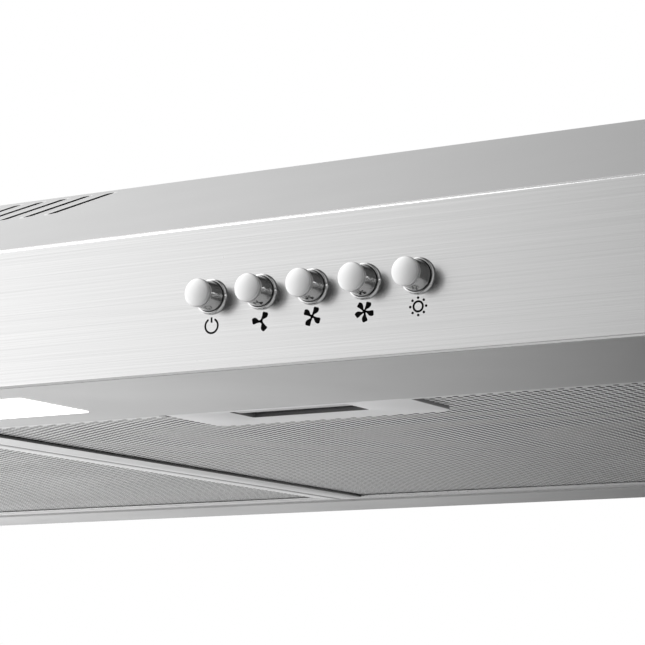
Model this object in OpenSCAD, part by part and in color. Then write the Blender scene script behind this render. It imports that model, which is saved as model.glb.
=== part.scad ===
// Under cabinet range hood: folded steel canopy, two hinged grease filters, a flat
// centrifugal blower, a round duct collar with a non-return damper, a lamp and five buttons.
// Lengths are in millimetres. The origin is the centre of the four cabinet screws on the top face.
// +Z is up, -Y is the front and +X is the user's right.

/* [Canopy] */
// Overall width
hood_w = 750; // [700:1:940]
// Overall depth from the front face to the back
hood_d = 500; // [485:1:620]
// Height of the canopy without the duct collar
hood_h = 100; // [96:1:140]
// Height of the vertical front face
fascia_h = 47.3; // [42:0.1:60]
// Depth of the sloping panel, front face to flat top
slope_d = 130; // [100:1:130]
// Thickness of the steel sheet
sheet_t = 0.8; // [0.6:0.1:1.2]
// Height of the flanges folded up inside
flange_h = 10; // [8:1:10]

/* [Louvres] */
// Number of louvre slots
louvre_count = 12; // [4:1:24]
// Distance between neighbouring slots
louvre_pitch = 11.6; // [8:0.1:16]
// Width of one slot
louvre_w = 4; // [2:0.1:5]
// Length of one slot
louvre_l = 45; // [20:1:60]
// Distance from the slope's top bend to the slots
louvre_top_gap = 8; // [5:1:20]

/* [Grease filters] */
// Depth of the strip in front of the filters
strip_d = 87.7; // [80:0.1:100]
// Depth of the frame behind the filters
rear_frame_d = 53; // [45:1:70]
// Width of the frame beside the filters
side_frame_w = 56; // [50:1:80]
// Width of the filter frame that shows
filter_border = 12; // [8:0.5:18]
// Width of the filter frame along its front edge
front_border = 8; // [5:0.5:12]
// Thickness of a filter
filter_t = 9; // [8:0.5:9]
// Clearance between a filter and what is round it
filter_gap = 0.5; // [0.4:0.1:0.5]
// Recess of the screen behind the filter frame
screen_recess = 1.3; // [1.1:0.1:2]
// Length of the handle plate along the front edge
handle_w = 100; // [80:1:120]
// Depth of the handle plate
handle_d = 44; // [36:1:50]
// Length of the finger slot
slot_w = 48.6; // [40:0.5:60]
// Distance from the filter's front edge to the finger slot
slot_inset = 8.3; // [6:0.1:10]
// Depth of the finger slot, front to back
slot_d = 18; // [15:0.5:20]
// Travel of the latch
latch_travel = 5; // [3:0.5:5]

/* [Lamp] */
// Length of the lamp's lens
lamp_w = 190; // [120:1:260]
// Width of the lamp's lens
lamp_d = 41; // [30:1:46]
// Distance from the front face to the lens
lamp_front = 23.5; // [20:0.5:28]

/* [Buttons] */
// Distance between neighbouring buttons
button_pitch = 18.2; // [15:0.1:25]
// Place of the middle button, right of the hood's centre
button_mid_x = 223.5; // [120:0.1:270]
// Height of the buttons above the underside
button_z = 23.7; // [20:0.1:28]
// Radius of a button's front disc
button_r = 4.5; // [3.5:0.1:5.5]
// How far a button stands out of the front face
button_out = 9.6; // [7:0.1:12]
// Travel of a button
button_travel = 3; // [2:0.5:4]

/* [Blower] */
// Radius of the fan wheel
wheel_r = 72; // [60:1:76]
// Radius of the blower's inlet
inlet_r = 54; // [44:1:56]
// Radius of the motor
motor_r = 34; // [28:1:36]
// Radius of the motor shaft
shaft_r = 4; // [3:0.5:5]
// Number of blades on the fan wheel
blade_count = 36; // [24:1:48]
// Running clearance of a shaft in its hole
run_fit = 0.05; // [0.02:0.01:0.1]

/* [Duct] */
// Outer radius of the duct collar
collar_r = 75; // [60:1:76]
// Height of the collar above the canopy
collar_h = 35; // [30:1:60]
// Wall of the collar
collar_t = 1.2; // [1:0.1:2]

/* [Mounting] */
// Distance between the cabinet screws, side to side
screw_span_x = 600; // [500:1:640]
// Distance between the cabinet screws, front to back
screw_span_y = 250; // [180:1:280]
// Radius of the cabinet screw holes
screw_hole_r = 3.2; // [2.5:0.1:4]
// Radius of the hole for the supply cable
cable_r = 6; // [4:0.5:7]

/* [Hidden] */
$fn = 64;

steel = "#c9cacb";
inner_steel = "#b4b6b8";
aluminium = "#d2d4d6";
plastic = "#2b2c2e";
white = "#f4f5f6";

gap = 0.3;                            // clearance between pieces that stay apart
eps = 0.01;                           // overshoot of a cut
half_w = hood_w / 2;
in_half_w = half_w - sheet_t;         // inside of the side panels
top_in = hood_h - sheet_t;            // underside of the flat top
slope_rise = hood_h - fascia_h;
slope_front = sheet_t + 2 * gap;      // where the slope starts, behind the fascia
slope_a = atan2(slope_rise, slope_d - slope_front);
slope_len = norm([slope_rise, slope_d - slope_front]);
hole_y = (slope_d + hood_d) / 2;      // centre of the cabinet screws
open_half = half_w - side_frame_w;    // half width of the filter opening
open_back = hood_d - rear_frame_d;    // rear edge of the filter opening
screw_r = 1.7;
screw_head_r = 3.4;

// Everything below is drawn from the front face and the underside, then moved to the origin.
module in_frame() { translate([0, -hole_y, -hood_h]) children(); }

// A block between two corners.
module block(low, high) { translate(low) cube(high - low); }

// A profile in the Y-Z plane, extruded along X about the centre.
module along_x(width) {
    rotate([90, 0, 90]) translate([0, 0, -width / 2]) linear_extrude(width) children();
}

// A pan-head screw that points down, with its head's seat at z = 0.
module pan_screw(length) {
    difference() {
        union() {
            translate([0, 0, -length]) cylinder(h = length, r = screw_r);
            cylinder(h = 1.4, r = screw_head_r);
            translate([0, 0, 1.4]) cylinder(h = 0.8, r1 = screw_head_r, r2 = screw_head_r - 1.1);
        }
        for (a = [0, 90]) rotate([0, 0, a]) translate([-1.9, -0.45, 0.9]) cube([3.8, 0.9, 2]);
    }
}

// --- canopy -------------------------------------------------------------------------------

// Centres of the louvre slots, measured along the width.
louvre_x = [for (i = [0:louvre_count - 1]) (i - (louvre_count - 1) / 2) * louvre_pitch];
louvre_mid = slope_len - louvre_top_gap - louvre_l / 2;

module louvre_slot() {
    straight = louvre_l - louvre_w;
    translate([-louvre_w / 2, -straight / 2, -5]) cube([louvre_w, straight, 10]);
    for (s = [-1, 1]) translate([0, s * straight / 2, -5]) cylinder(h = 10, r = louvre_w / 2);
}

module canopy_outline() {
    drop = sheet_t / cos(slope_a);
    in_front = slope_front + sheet_t;
    tail = 12;
    polygon([
        [slope_front, fascia_h - tail],
        [slope_front, fascia_h],
        [slope_d, hood_h],
        [hood_d, hood_h],
        [hood_d, 0],
        [hood_d - sheet_t, 0],
        [hood_d - sheet_t, top_in],
        [slope_d + sheet_t * tan(slope_a / 2), top_in],
        [in_front, fascia_h + sheet_t * tan(slope_a) - drop],
        [in_front, fascia_h - tail]
    ]);
}

module canopy_shell() {
    color(steel) difference() {
        along_x(2 * in_half_w) canopy_outline();
        translate([0, slope_front, fascia_h]) rotate([slope_a, 0, 0])
            for (x = louvre_x) translate([x, louvre_mid, 0]) louvre_slot();
        translate([0, collar_y, 0]) cylinder(h = hood_h + 1, r = collar_r - collar_t);
        for (x = [-1, 1], y = [-1, 1])
            translate([x * screw_span_x / 2, hole_y + y * screw_span_y / 2, top_in - 1])
                cylinder(h = sheet_t + 2, r = screw_hole_r);
        for (p = collar_screw_spots)
            translate([p[0], p[1], top_in - 1]) cylinder(h = sheet_t + 2, r = screw_r + 0.1);
        for (p = blower_screw_spots)
            translate([p[0], p[1], top_in - 1]) cylinder(h = sheet_t + 2, r = screw_r + 0.1);
        translate([cable_x, cable_y, top_in - 1]) cylinder(h = sheet_t + 2, r = gland_neck_r + 0.05);
    }
}

hem_h = 8;                             // height of the fascia's closed hem

// Outline of a side panel, seen along X.
module side_outline() {
    front = sheet_t + 0.7;
    hem_back = 2 * sheet_t + 0.2;
    hem_top = sheet_t + hem_h + 0.2;
    polygon([
        [hem_back, 0],
        [hem_back, hem_top],
        [front, hem_top],
        [front, fascia_h - (slope_front - front) * tan(slope_a)],
        [slope_d, hood_h],
        [hood_d, hood_h],
        [hood_d, 0]
    ]);
}

module side_panel(side) {
    tab = 12;
    color(steel) union() {
        translate([side * (half_w - sheet_t / 2), 0, 0]) along_x(sheet_t) side_outline();
        for (y = [slope_d + 15, hood_d - 60]) {
            x0 = side * (in_half_w - tab / 2);
            translate([x0 - tab / 2, y, top_in - sheet_t]) cube([tab + eps, 40, sheet_t]);
        }
    }
}
module left_side_panel() { side_panel(-1); }
module right_side_panel() { side_panel(1); }

// Front face: rounded top bend with a short return, closed hem along the bottom.
module fascia_outline() {
    bend = 1.2;
    hem_r = sheet_t;
    top_return = 1.3;
    difference() {
        union() {
            translate([0, hem_r]) square([sheet_t, fascia_h - hem_r - bend]);
            translate([bend, fascia_h - bend]) circle(r = bend);
            translate([hem_r, hem_r]) circle(r = hem_r);
            translate([hem_r, hem_r]) square([sheet_t, hem_h]);
            translate([sheet_t / 2, fascia_h - bend - 1]) square([bend - sheet_t / 2, 1 + bend]);
        }
        translate([sheet_t, fascia_h - bend - 2]) square([bend, bend + 2 - sheet_t]);
        translate([top_return, fascia_h - bend - 2]) square([bend * 2, bend + 3]);
    }
}

module front_fascia() {
    wing = 10;
    color(steel) difference() {
        union() {
            along_x(hood_w) fascia_outline();
            for (s = [-1, 1])
                translate([s * (in_half_w - gap - sheet_t / 2) - sheet_t / 2, sheet_t / 2, flange_h + 4])
                    cube([sheet_t, wing, fascia_h - flange_h - 18]);
        }
        for (x = button_x) translate([x, -1, button_z]) rotate([-90, 0, 0])
            cylinder(h = sheet_t + 2, r = bezel_neck_r + 0.1);
    }
}

// Pressed frame on the underside: strip, sides and rear, with flanges folded up.
frame_front = 2 * sheet_t + 0.4;
frame_half = in_half_w - gap;
frame_back = hood_d - sheet_t - gap;
frame_screw_x = half_w - side_frame_w / 2;
frame_screw_spots = [for (x = [-1, 1], y = [40, hood_d - 30]) [x * frame_screw_x, y]];

module underside_frame() {
    lamp_fit = 0.4;
    color(steel) difference() {
        union() {
            block([-frame_half, frame_front, 0], [frame_half, frame_back, flange_h + 2]);
        }
        difference() {
            block([-frame_half + sheet_t, frame_front + sheet_t, sheet_t],
                  [frame_half - sheet_t, frame_back - sheet_t, flange_h + 3]);
            block([-open_half - sheet_t, strip_d - sheet_t, 0],
                  [open_half + sheet_t, open_back + sheet_t, flange_h]);
        }
        block([-open_half, strip_d, -1], [open_half, open_back, flange_h + 3]);
        block([-lamp_w / 2 - lamp_fit, lamp_front - lamp_fit, -1],
              [lamp_w / 2 + lamp_fit, lamp_front + lamp_d + lamp_fit, sheet_t + 1]);
        for (p = frame_screw_spots)
            translate([p[0], p[1], -1]) cylinder(h = sheet_t + 2, r = screw_r + 0.1);
    }
}

// Rail above the joint between the two filters.
module filter_rail() {
    rail_w = 24;
    rail_z = flange_h + 1;
    color(inner_steel) difference() {
        block([-rail_w / 2, strip_d - sheet_t, flange_h], [rail_w / 2, open_back + sheet_t, rail_z + 5]);
        block([-rail_w / 2 + sheet_t, strip_d - 2, rail_z],
              [rail_w / 2 - sheet_t, open_back + 2, rail_z + 6]);
        block([-rail_w / 2 - 1, strip_d, flange_h - 1], [rail_w / 2 + 1, open_back, flange_h + 0.2]);
    }
}

// Angle brackets on the side panels that the underside frame is screwed to.
bracket_low_z = flange_h + 2 + gap;
bracket_t = 1.2;
module frame_brackets() {
    foot = 36;
    half = 9;
    color(inner_steel) for (s = [-1, 1], y = [frame_screw_spots[0][1], frame_screw_spots[1][1]])
        mirror([s < 0 ? 1 : 0, 0, 0]) difference() {
            union() {
                block([in_half_w - foot, y - half, bracket_low_z],
                      [in_half_w, y + half, bracket_low_z + bracket_t]);
                block([in_half_w - bracket_t, y - half, bracket_low_z],
                      [in_half_w, y + half, bracket_low_z + 20]);
            }
            translate([frame_screw_x, y, bracket_low_z - 1])
                cylinder(h = bracket_t + 2, r = screw_r + 0.1);
        }
}

// Screws that hold the underside frame to the brackets.
module frame_screws() {
    color(steel) for (p = frame_screw_spots)
        translate([p[0], p[1], 0]) mirror([0, 0, 1]) pan_screw(bracket_low_z + bracket_t + 2);
}

// --- buttons ------------------------------------------------------------------------------

button_x = [for (i = [-2:2]) button_mid_x + i * button_pitch];
button_foot_r = button_r + 0.2;       // the cap flares slightly towards the face
bezel_bore_r = button_foot_r + gap;
bezel_neck_r = bezel_bore_r + 0.35;
bezel_r = bezel_neck_r + 0.4;
plunger_r = 3;
switch_front = 9;
cap_back = 2.5;                       // how far the cap reaches behind the front face

module at_button(i) { translate([button_x[i], 0, button_z]) rotate([90, 0, 0]) children(); }

module button_bezels() {
    color("#8f9193") for (i = [0:4]) at_button(i) rotate_extrude() {
        translate([bezel_bore_r, -4]) square([bezel_neck_r - bezel_bore_r, 4.5]);
        polygon([
            [bezel_bore_r, 0], [bezel_r, 0], [bezel_r, 0.7],
            [bezel_r - 0.4, 1.1], [bezel_bore_r, 1.1]
        ]);
    }
}

// Turned cap: domed front disc, fine groove behind it and a flaring side.
module button_cap(i) {
    dome = 0.7;
    groove_at = button_out - 2.2;
    color("#d9dadb") at_button(i) rotate_extrude() polygon(concat(
        [[0, -cap_back], [button_foot_r, -cap_back], [button_foot_r, 0],
         [button_r - 0.1, groove_at - 0.3], [button_r - 0.55, groove_at],
         [button_r - 0.55, groove_at + 0.5], [button_r - 0.05, groove_at + 0.75],
         [button_r, button_out - dome - 0.3]],
        [for (a = [10:10:90]) [
            button_r - 0.5 + 0.5 * cos(a) - (button_r - 0.5) * (1 - cos(a)) * (a - 10) / 80,
            button_out - dome - 0.2 + (dome + 0.2) * sin(a)]]
    ));
}
module power_button() { button_cap(0); }
module speed_1_button() { button_cap(1); }
module speed_2_button() { button_cap(2); }
module speed_3_button() { button_cap(3); }
module light_button() { button_cap(4); }

// Plunger that a cap is pressed on; it slides in the switch housing.
plunger_back = switch_front + 20;
module plunger(i) {
    color("#e8e8e4") at_button(i) translate([0, 0, -plunger_back])
        cylinder(h = plunger_back - cap_back, r = plunger_r);
}
module power_plunger() { plunger(0); }
module speed_1_plunger() { plunger(1); }
module speed_2_plunger() { plunger(2); }
module speed_3_plunger() { plunger(3); }
module light_plunger() { plunger(4); }

switch_edge = button_pitch / 2 + 2;
switch_half_h = 9;
switch_back = plunger_back + button_travel + 4;
bracket_z = button_z + switch_half_h;

module switch_housing() {
    color(plastic) difference() {
        block([button_x[0] - switch_edge, switch_front, button_z - switch_half_h],
              [button_x[4] + switch_edge, switch_back, button_z + switch_half_h]);
        for (i = [0:4]) at_button(i) {
            translate([0, 0, -plunger_back - button_travel - 1])
                cylinder(h = plunger_back, r = plunger_r + run_fit);
            translate([0, 0, -plunger_back - button_travel - 2])
                cylinder(h = 12, r = plunger_r + 2.5);
        }
    }
}

// Folded bracket that hangs the switch housing from the fascia's back.
module switch_bracket() {
    left = button_x[0] - switch_edge;
    right = button_x[4] + switch_edge;
    lug = 10;
    color(inner_steel) difference() {
        union() {
            block([left - lug, switch_front - 1.2, button_z - switch_half_h],
                  [right + lug, switch_front, bracket_z + 1.2]);
            block([left, switch_front - 1.2, bracket_z], [right, switch_back - 6, bracket_z + 1.2]);
            for (x = [left - lug, right])
                block([x, sheet_t, button_z - 3], [x + lug, sheet_t + 1.2, button_z + 3]);
            for (x = [left - lug, right + lug - 1.2])
                block([x, sheet_t, button_z - 3], [x + 1.2, switch_front, button_z + 3]);
        }
        for (i = [0:4]) at_button(i) translate([0, 0, -switch_front - 1])
            cylinder(h = 4, r = plunger_r + gap);
    }
}

// --- lamp ---------------------------------------------------------------------------------

lamp_mid_y = lamp_front + lamp_d / 2;
lamp_lip = 3;
lamp_proud = 0.4;
lens_top = sheet_t + 1.6;
tray_top = 16;
board_z = 11;

module lamp_block(edge, low, high) {
    block([-lamp_w / 2 - edge, lamp_front - edge, low],
          [lamp_w / 2 + edge, lamp_front + lamp_d + edge, high]);
}

module lamp_lens() {
    color(white) union() {
        lamp_block(0, -lamp_proud, lens_top);
        lamp_block(lamp_lip, sheet_t, lens_top);
    }
}

module lamp_tray() {
    wall = 0.8;
    color(inner_steel) difference() {
        lamp_block(lamp_lip + gap + wall, sheet_t, tray_top);
        lamp_block(lamp_lip + gap, sheet_t - 1, tray_top - wall);
    }
}

module led_board() {
    leds = 12;
    step = (lamp_w - 10) / leds;
    color("#dfe8e0") union() {
        lamp_block(0, board_z, tray_top - 0.8);
        for (i = [0:leds - 1], y = [-8, 8])
            translate([(i - (leds - 1) / 2) * step - 1.5, lamp_mid_y + y - 1.5, board_z - 0.8])
                cube([3, 3, 0.8 + eps]);
    }
}

driver_x = -half_w + side_frame_w / 2;
module led_driver() {
    color("#eceded") difference() {
        translate([driver_x - 18, hole_y - 45, top_in - 22]) cube([36, 90, 22]);
        for (y = [-38, 38]) translate([driver_x, hole_y + y, top_in - 30]) cylinder(h = 26, r = 2);
    }
}

// --- blower -------------------------------------------------------------------------------

wall = 2;                             // plastic wall of the blower
collar_y = hood_d - collar_r - 25;    // centre of the duct collar
scroll_open = 28;                     // how much the scroll opens from its tongue to its end
scroll_r = wheel_r + 8;               // scroll radius at its tongue
plenum_half = collar_r + 5;           // half width of the box under the collar
plenum_front = collar_y - plenum_half + 3;
fan_x = plenum_half - scroll_open - scroll_r;
fan_y = plenum_front - 10 - scroll_r;
scroll_low = 34;                      // underside of the scroll's floor
scroll_top = top_in - 4.2;            // top of the scroll's wall
cover_top = scroll_top + wall;
neck_w = 70;                          // width of the outlet channel

// Plan of the scroll: a spiral that opens from its tongue, the outlet channel and the box
// under the collar. grow moves every wall outwards.
module scroll_plan(grow) {
    right = plenum_half + grow;
    neck = plenum_half - neck_w - grow;
    back = collar_y + plenum_half - 3 + grow;
    front = plenum_front - grow;
    tongue = acos((neck - fan_x) / (scroll_r + grow));
    turn = 360 - tongue;
    spiral = [for (i = [0:50])
        let (a = tongue + turn * i / 50, r = scroll_r + grow + scroll_open * i / 50)
        [fan_x + r * cos(a), fan_y + r * sin(a)]];
    polygon(concat(spiral, [
        [right, back], [-plenum_half - grow, back], [-plenum_half - grow, front], [neck, front]
    ]));
}

module blower_scroll() {
    color(plastic) difference() {
        translate([0, 0, scroll_low]) linear_extrude(scroll_top - scroll_low) scroll_plan(0);
        translate([0, 0, scroll_low + wall]) linear_extrude(scroll_top) scroll_plan(-wall);
        translate([fan_x, fan_y, scroll_low - 1]) cylinder(h = wall + 2, r = inlet_r);
    }
}

bush_r = motor_r + 9;                 // radius of the ring of rubber bushes
bush_spots = [for (a = [90, 210, 330]) [fan_x + bush_r * cos(a), fan_y + bush_r * sin(a)]];
bracket_low = scroll_top - 3.5;

blower_screw_spots = [
    [fan_x - 0.7 * scroll_r, fan_y - 0.7 * scroll_r],
    [fan_x + 0.8 * scroll_r, fan_y - 0.7 * scroll_r],
    [-plenum_half + 10, collar_y + plenum_half - 12],
    [plenum_half - 10, collar_y + plenum_half - 12]
];

// Lid of the scroll, with a boss under each screw that hangs the blower from the flat top.
module blower_cover() {
    color(plastic) difference() {
        union() {
            translate([0, 0, scroll_top]) linear_extrude(wall) scroll_plan(0);
            for (p = blower_screw_spots)
                translate([p[0], p[1], scroll_top]) cylinder(h = top_in - scroll_top, r = 5);
        }
        translate([0, collar_y, scroll_top - 1]) cylinder(h = wall + 2, r = collar_r + gap);
        for (p = blower_screw_spots)
            translate([p[0], p[1], scroll_top - 1]) cylinder(h = 2 * wall + 4, r = screw_r + 0.1);
    }
}

module blower_screws() {
    color(steel) for (p = blower_screw_spots)
        translate([p[0], p[1], hood_h]) pan_screw(hood_h - scroll_top);
}

module motor_bracket() {
    color(inner_steel) translate([fan_x, fan_y, bracket_low]) cylinder(h = 1.5, r = bush_r + 6);
}

module motor_bushes() {
    color(plastic) for (p = bush_spots)
        translate([p[0], p[1], bracket_low + 1.5]) cylinder(h = 2, r = 5);
}

motor_low = scroll_low + 24;
module motor() {
    color("#9a9c9e") translate([fan_x, fan_y, motor_low]) difference() {
        union() {
            cylinder(h = bracket_low - motor_low, r = motor_r - 6);
            translate([0, 0, 6]) cylinder(h = bracket_low - motor_low - 12, r = motor_r);
        }
        translate([0, 0, -1]) cylinder(h = bracket_low - motor_low, r = shaft_r + run_fit);
    }
}

hub_low = motor_low - 6;
wheel_top = bracket_low - 1.5;
wheel_low = scroll_low + wall + 4;

module motor_shaft() {
    color(steel) translate([fan_x, fan_y, hub_low])
        cylinder(h = bracket_low - 2 - hub_low, r = shaft_r);
}

// Fan wheel: a cup round the motor, a back plate, blades and a front ring.
module fan_wheel() {
    blade_in = wheel_r - 16;
    cup_r = motor_r + 3;
    color("#3a3b3d") translate([fan_x, fan_y, 0]) {
        difference() {
            union() {
                translate([0, 0, wheel_top - 2]) cylinder(h = 2, r = wheel_r);
                translate([0, 0, hub_low]) cylinder(h = wheel_top - hub_low, r = cup_r + 2);
            }
            translate([0, 0, hub_low + 3]) cylinder(h = wheel_top, r = cup_r);
            translate([0, 0, hub_low - 1]) cylinder(h = 6, r = shaft_r + 0.03);
        }
        difference() {
            translate([0, 0, wheel_low]) cylinder(h = 2, r = wheel_r);
            translate([0, 0, wheel_low - 1]) cylinder(h = 4, r = blade_in);
        }
        for (i = [0:blade_count - 1]) rotate([0, 0, i * 360 / blade_count])
            translate([blade_in + 1, -3.5, wheel_low + 1]) rotate([0, 0, 22])
                cube([14, 1.2, wheel_top - wheel_low - 2]);
    }
}

// Wire grille across the inlet, with the stud that the carbon filter twists on to.
grille_t = 1.6;
stud_r = 8;
cage_low = flange_h + 6.5;
cage_top = scroll_low - grille_t - 0.4;
cage_r = inlet_r + 22;

module ring(r_out, r_in, h) {
    difference() {
        cylinder(h = h, r = r_out);
        translate([0, 0, -1]) cylinder(h = h + 2, r = r_in);
    }
}

module inlet_grille() {
    color("#bfc1c3") translate([fan_x, fan_y, scroll_low - grille_t]) {
        ring(inlet_r + 8, inlet_r - 1, grille_t);
        for (r = [22, 38]) ring(r + 1, r - 1, grille_t);
        for (a = [0:60:120]) rotate([0, 0, a])
            translate([-inlet_r, -1, 0]) cube([2 * inlet_r, 2, grille_t]);
        translate([0, 0, -(scroll_low - grille_t - cage_low)])
            cylinder(h = scroll_low - cage_low, r = stud_r);
    }
}

module carbon_cage() {
    color(plastic) translate([fan_x, fan_y, cage_low]) difference() {
        cylinder(h = cage_top - cage_low, r = cage_r);
        translate([0, 0, 1.5]) ring(cage_r - 1.5, stud_r + 3, cage_top);
        translate([0, 0, -1]) cylinder(h = cage_top, r = stud_r + run_fit);
        for (k = [1:5], a = [0:1:6 * k + 1]) rotate([0, 0, a * 360 / (6 * k + 2)])
            translate([8 + k * 11, 0, -1]) cylinder(h = 4, r = 3.4);
    }
}

module carbon_pad() {
    color("#1c1c1d") translate([fan_x, fan_y, cage_low + 1.5])
        ring(cage_r - 1.5 - 0.2, stud_r + 3.2, cage_top - cage_low - 2);
}

cap_r = 17;
cap_len = 55;
cap_x = -half_w + side_frame_w + 60;
cap_y = hood_d - 70;
cap_z = top_in - cap_r - 2;
module capacitor() {
    color(white) translate([cap_x, cap_y, cap_z]) rotate([0, 90, 0]) {
        cylinder(h = cap_len, r = cap_r);
        translate([0, 0, -3]) cylinder(h = 3, r = 5);
    }
}
module capacitor_clip() {
    color(inner_steel) translate([cap_x + cap_len / 2, cap_y, cap_z]) difference() {
        union() {
            rotate([0, 90, 0]) cylinder(h = 12, r = cap_r + 1);
            translate([0, -cap_r - 16, cap_r + 1]) cube([12, 2 * cap_r + 32, 1]);
            translate([0, -cap_r - 1, 0]) cube([12, 2 * cap_r + 2, cap_r + 1 + eps]);
        }
        translate([-1, 0, 0]) rotate([0, 90, 0]) cylinder(h = 14, r = cap_r);
        translate([-1, -cap_r, 0]) cube([14, 2 * cap_r, cap_r + 0.5]);
    }
}

// --- supply -------------------------------------------------------------------------------

box_half = 30;
box_h = 42;
cable_x = open_half + side_frame_w / 2 - box_half / 2 - 20;
cable_y = hood_d - 75;
gland_neck_r = cable_r + 2.5;
gland_r = cable_r + 5;

module junction_box() {
    color("#a9abad") difference() {
        translate([cable_x - box_half, cable_y - 40, top_in - box_h]) cube([2 * box_half, 80, box_h]);
        translate([cable_x - box_half + 1, cable_y - 39, top_in - box_h - 1])
            cube([2 * box_half - 2, 78, box_h]);
        translate([cable_x, cable_y, top_in - 5]) cylinder(h = 8, r = gland_r + gap);
    }
}
module junction_cover() {
    color("#a9abad") translate([cable_x - box_half, cable_y - 40, top_in - box_h - 1])
        cube([2 * box_half, 80, 1]);
}
module terminal_block() {
    low = top_in - box_h;
    color(white) difference() {
        translate([cable_x - 20, cable_y - 34, low]) cube([40, 16, 12]);
        for (i = [-1:1]) translate([cable_x + i * 12, cable_y - 26, low + 5]) cylinder(h = 10, r = 3);
    }
}
module cable_gland() {
    color("#1b1b1c") translate([cable_x, cable_y, 0]) difference() {
        union() {
            translate([0, 0, hood_h]) cylinder(h = 2, r = gland_r);
            translate([0, 0, top_in]) cylinder(h = sheet_t, r = gland_neck_r);
            translate([0, 0, top_in - 3]) cylinder(h = 3, r = gland_r - 0.5);
        }
        translate([0, 0, top_in - 4]) cylinder(h = 8, r = cable_r);
    }
}

// --- duct collar and damper ---------------------------------------------------------------

collar_flange_r = collar_r + 14;
collar_screw_spots = [for (a = [45:90:315])
    [(collar_r + 8) * cos(a), collar_y + (collar_r + 8) * sin(a)]];
rod_r = 2;
rod_z = hood_h + 9;
flap_r = collar_r - collar_t - 1;
knuckle_r = rod_r + 1.6;
knuckle_l = 18;

module duct_collar() {
    color("#b9bbbd") difference() {
        translate([0, collar_y, 0]) union() {
            translate([0, 0, hood_h]) cylinder(h = collar_h, r = collar_r);
            translate([0, 0, hood_h]) cylinder(h = 1.2, r = collar_flange_r);
        }
        translate([0, collar_y, cover_top - 1]) cylinder(h = hood_h + collar_h, r = collar_r - collar_t);
        for (p = collar_screw_spots) translate([p[0], p[1], 0]) cylinder(h = 2 * hood_h, r = screw_r + 0.1);
        translate([-collar_r - 1, collar_y, rod_z]) rotate([0, 90, 0])
            cylinder(h = 2 * collar_r + 2, r = rod_r + run_fit);
    }
}

module collar_gasket() {
    color("#1f1f20") translate([0, collar_y, cover_top]) difference() {
        ring(collar_flange_r - 9, collar_r + gap, top_in - cover_top);
        for (p = collar_screw_spots)
            translate([p[0], p[1] - collar_y, -1]) cylinder(h = 8, r = screw_r + gap);
    }
}

module collar_screws() {
    color(steel) for (p = collar_screw_spots) translate([p[0], p[1], hood_h + 1.2]) pan_screw(3.2);
}

module damper_rod() {
    color(steel) translate([-collar_r + 0.3, collar_y, rod_z]) rotate([0, 90, 0])
        cylinder(h = 2 * collar_r - 0.6, r = rod_r);
}

// Half-round flap: side is -1 for the front one and 1 for the rear one.
module damper_flap(side, knuckles) {
    hinge_gap = knuckle_r + 0.5;
    color(aluminium) translate([0, collar_y, rod_z]) difference() {
        union() {
            intersection() {
                translate([0, 0, -0.5]) cylinder(h = 1, r = flap_r);
                translate([-flap_r, side > 0 ? hinge_gap : -flap_r, -1])
                    cube([2 * flap_r, flap_r - hinge_gap, 2]);
            }
            for (x = knuckles) {
                translate([x, 0, 0]) rotate([0, 90, 0]) cylinder(h = knuckle_l, r = knuckle_r);
                translate([x, side > 0 ? 0 : -hinge_gap - 1, -0.5]) cube([knuckle_l, hinge_gap + 1, 1]);
            }
        }
        translate([-flap_r, 0, 0]) rotate([0, 90, 0]) cylinder(h = 2 * flap_r, r = rod_r + run_fit);
    }
}
module front_damper_flap() { damper_flap(-1, [-2.2 * knuckle_l, 1.2 * knuckle_l]); }
module rear_damper_flap() { damper_flap(1, [-1.1 * knuckle_l, 0.1 * knuckle_l]); }

// --- grease filters -----------------------------------------------------------------------

filter_w = open_half - 2 * filter_gap;          // width of one filter
filter_mid = open_half / 2;                     // centre of the right filter
filter_front = strip_d + filter_gap;
filter_back = open_back - filter_gap;
filter_low = sheet_t;                           // face of the filter frame
filter_top = filter_low + filter_t;
skin_t = 1;                                     // wall of the filter frame
screen_low = filter_low + screen_recess;
screen_t = 0.5;
back_low = filter_top - skin_t - screen_t;
media_inset = skin_t + 0.2;
layer_t = 0.4;
layer_count = 3;

// A block that fills one filter's plan, less an edge all round.
module filter_block(side, edge, low, high) {
    x0 = side * filter_mid;
    block([x0 - filter_w / 2 + edge, filter_front + edge, low],
          [x0 + filter_w / 2 - edge, filter_back - edge, high]);
}

// Room that the handle takes out of the frame, screens and media.
module handle_room(side, grow) {
    x0 = side * filter_mid;
    block([x0 - handle_w / 2 - grow, filter_front - 1, -1],
          [x0 + handle_w / 2 + grow, filter_front + handle_d + grow, flange_h + 5]);
}

// Corner outside the rounded heel, the rear lower edge that a filter turns on.
module heel_corner(side) {
    heel_y = filter_back - skin_t;
    heel_z = filter_low + skin_t;
    difference() {
        block([side * filter_mid - filter_w, heel_y, filter_low - 1],
              [side * filter_mid + filter_w, filter_back + 1, heel_z]);
        translate([side * filter_mid - filter_w - 1, heel_y, heel_z]) rotate([0, 90, 0])
            cylinder(h = 2 * filter_w + 2, r = skin_t);
    }
}

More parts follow.
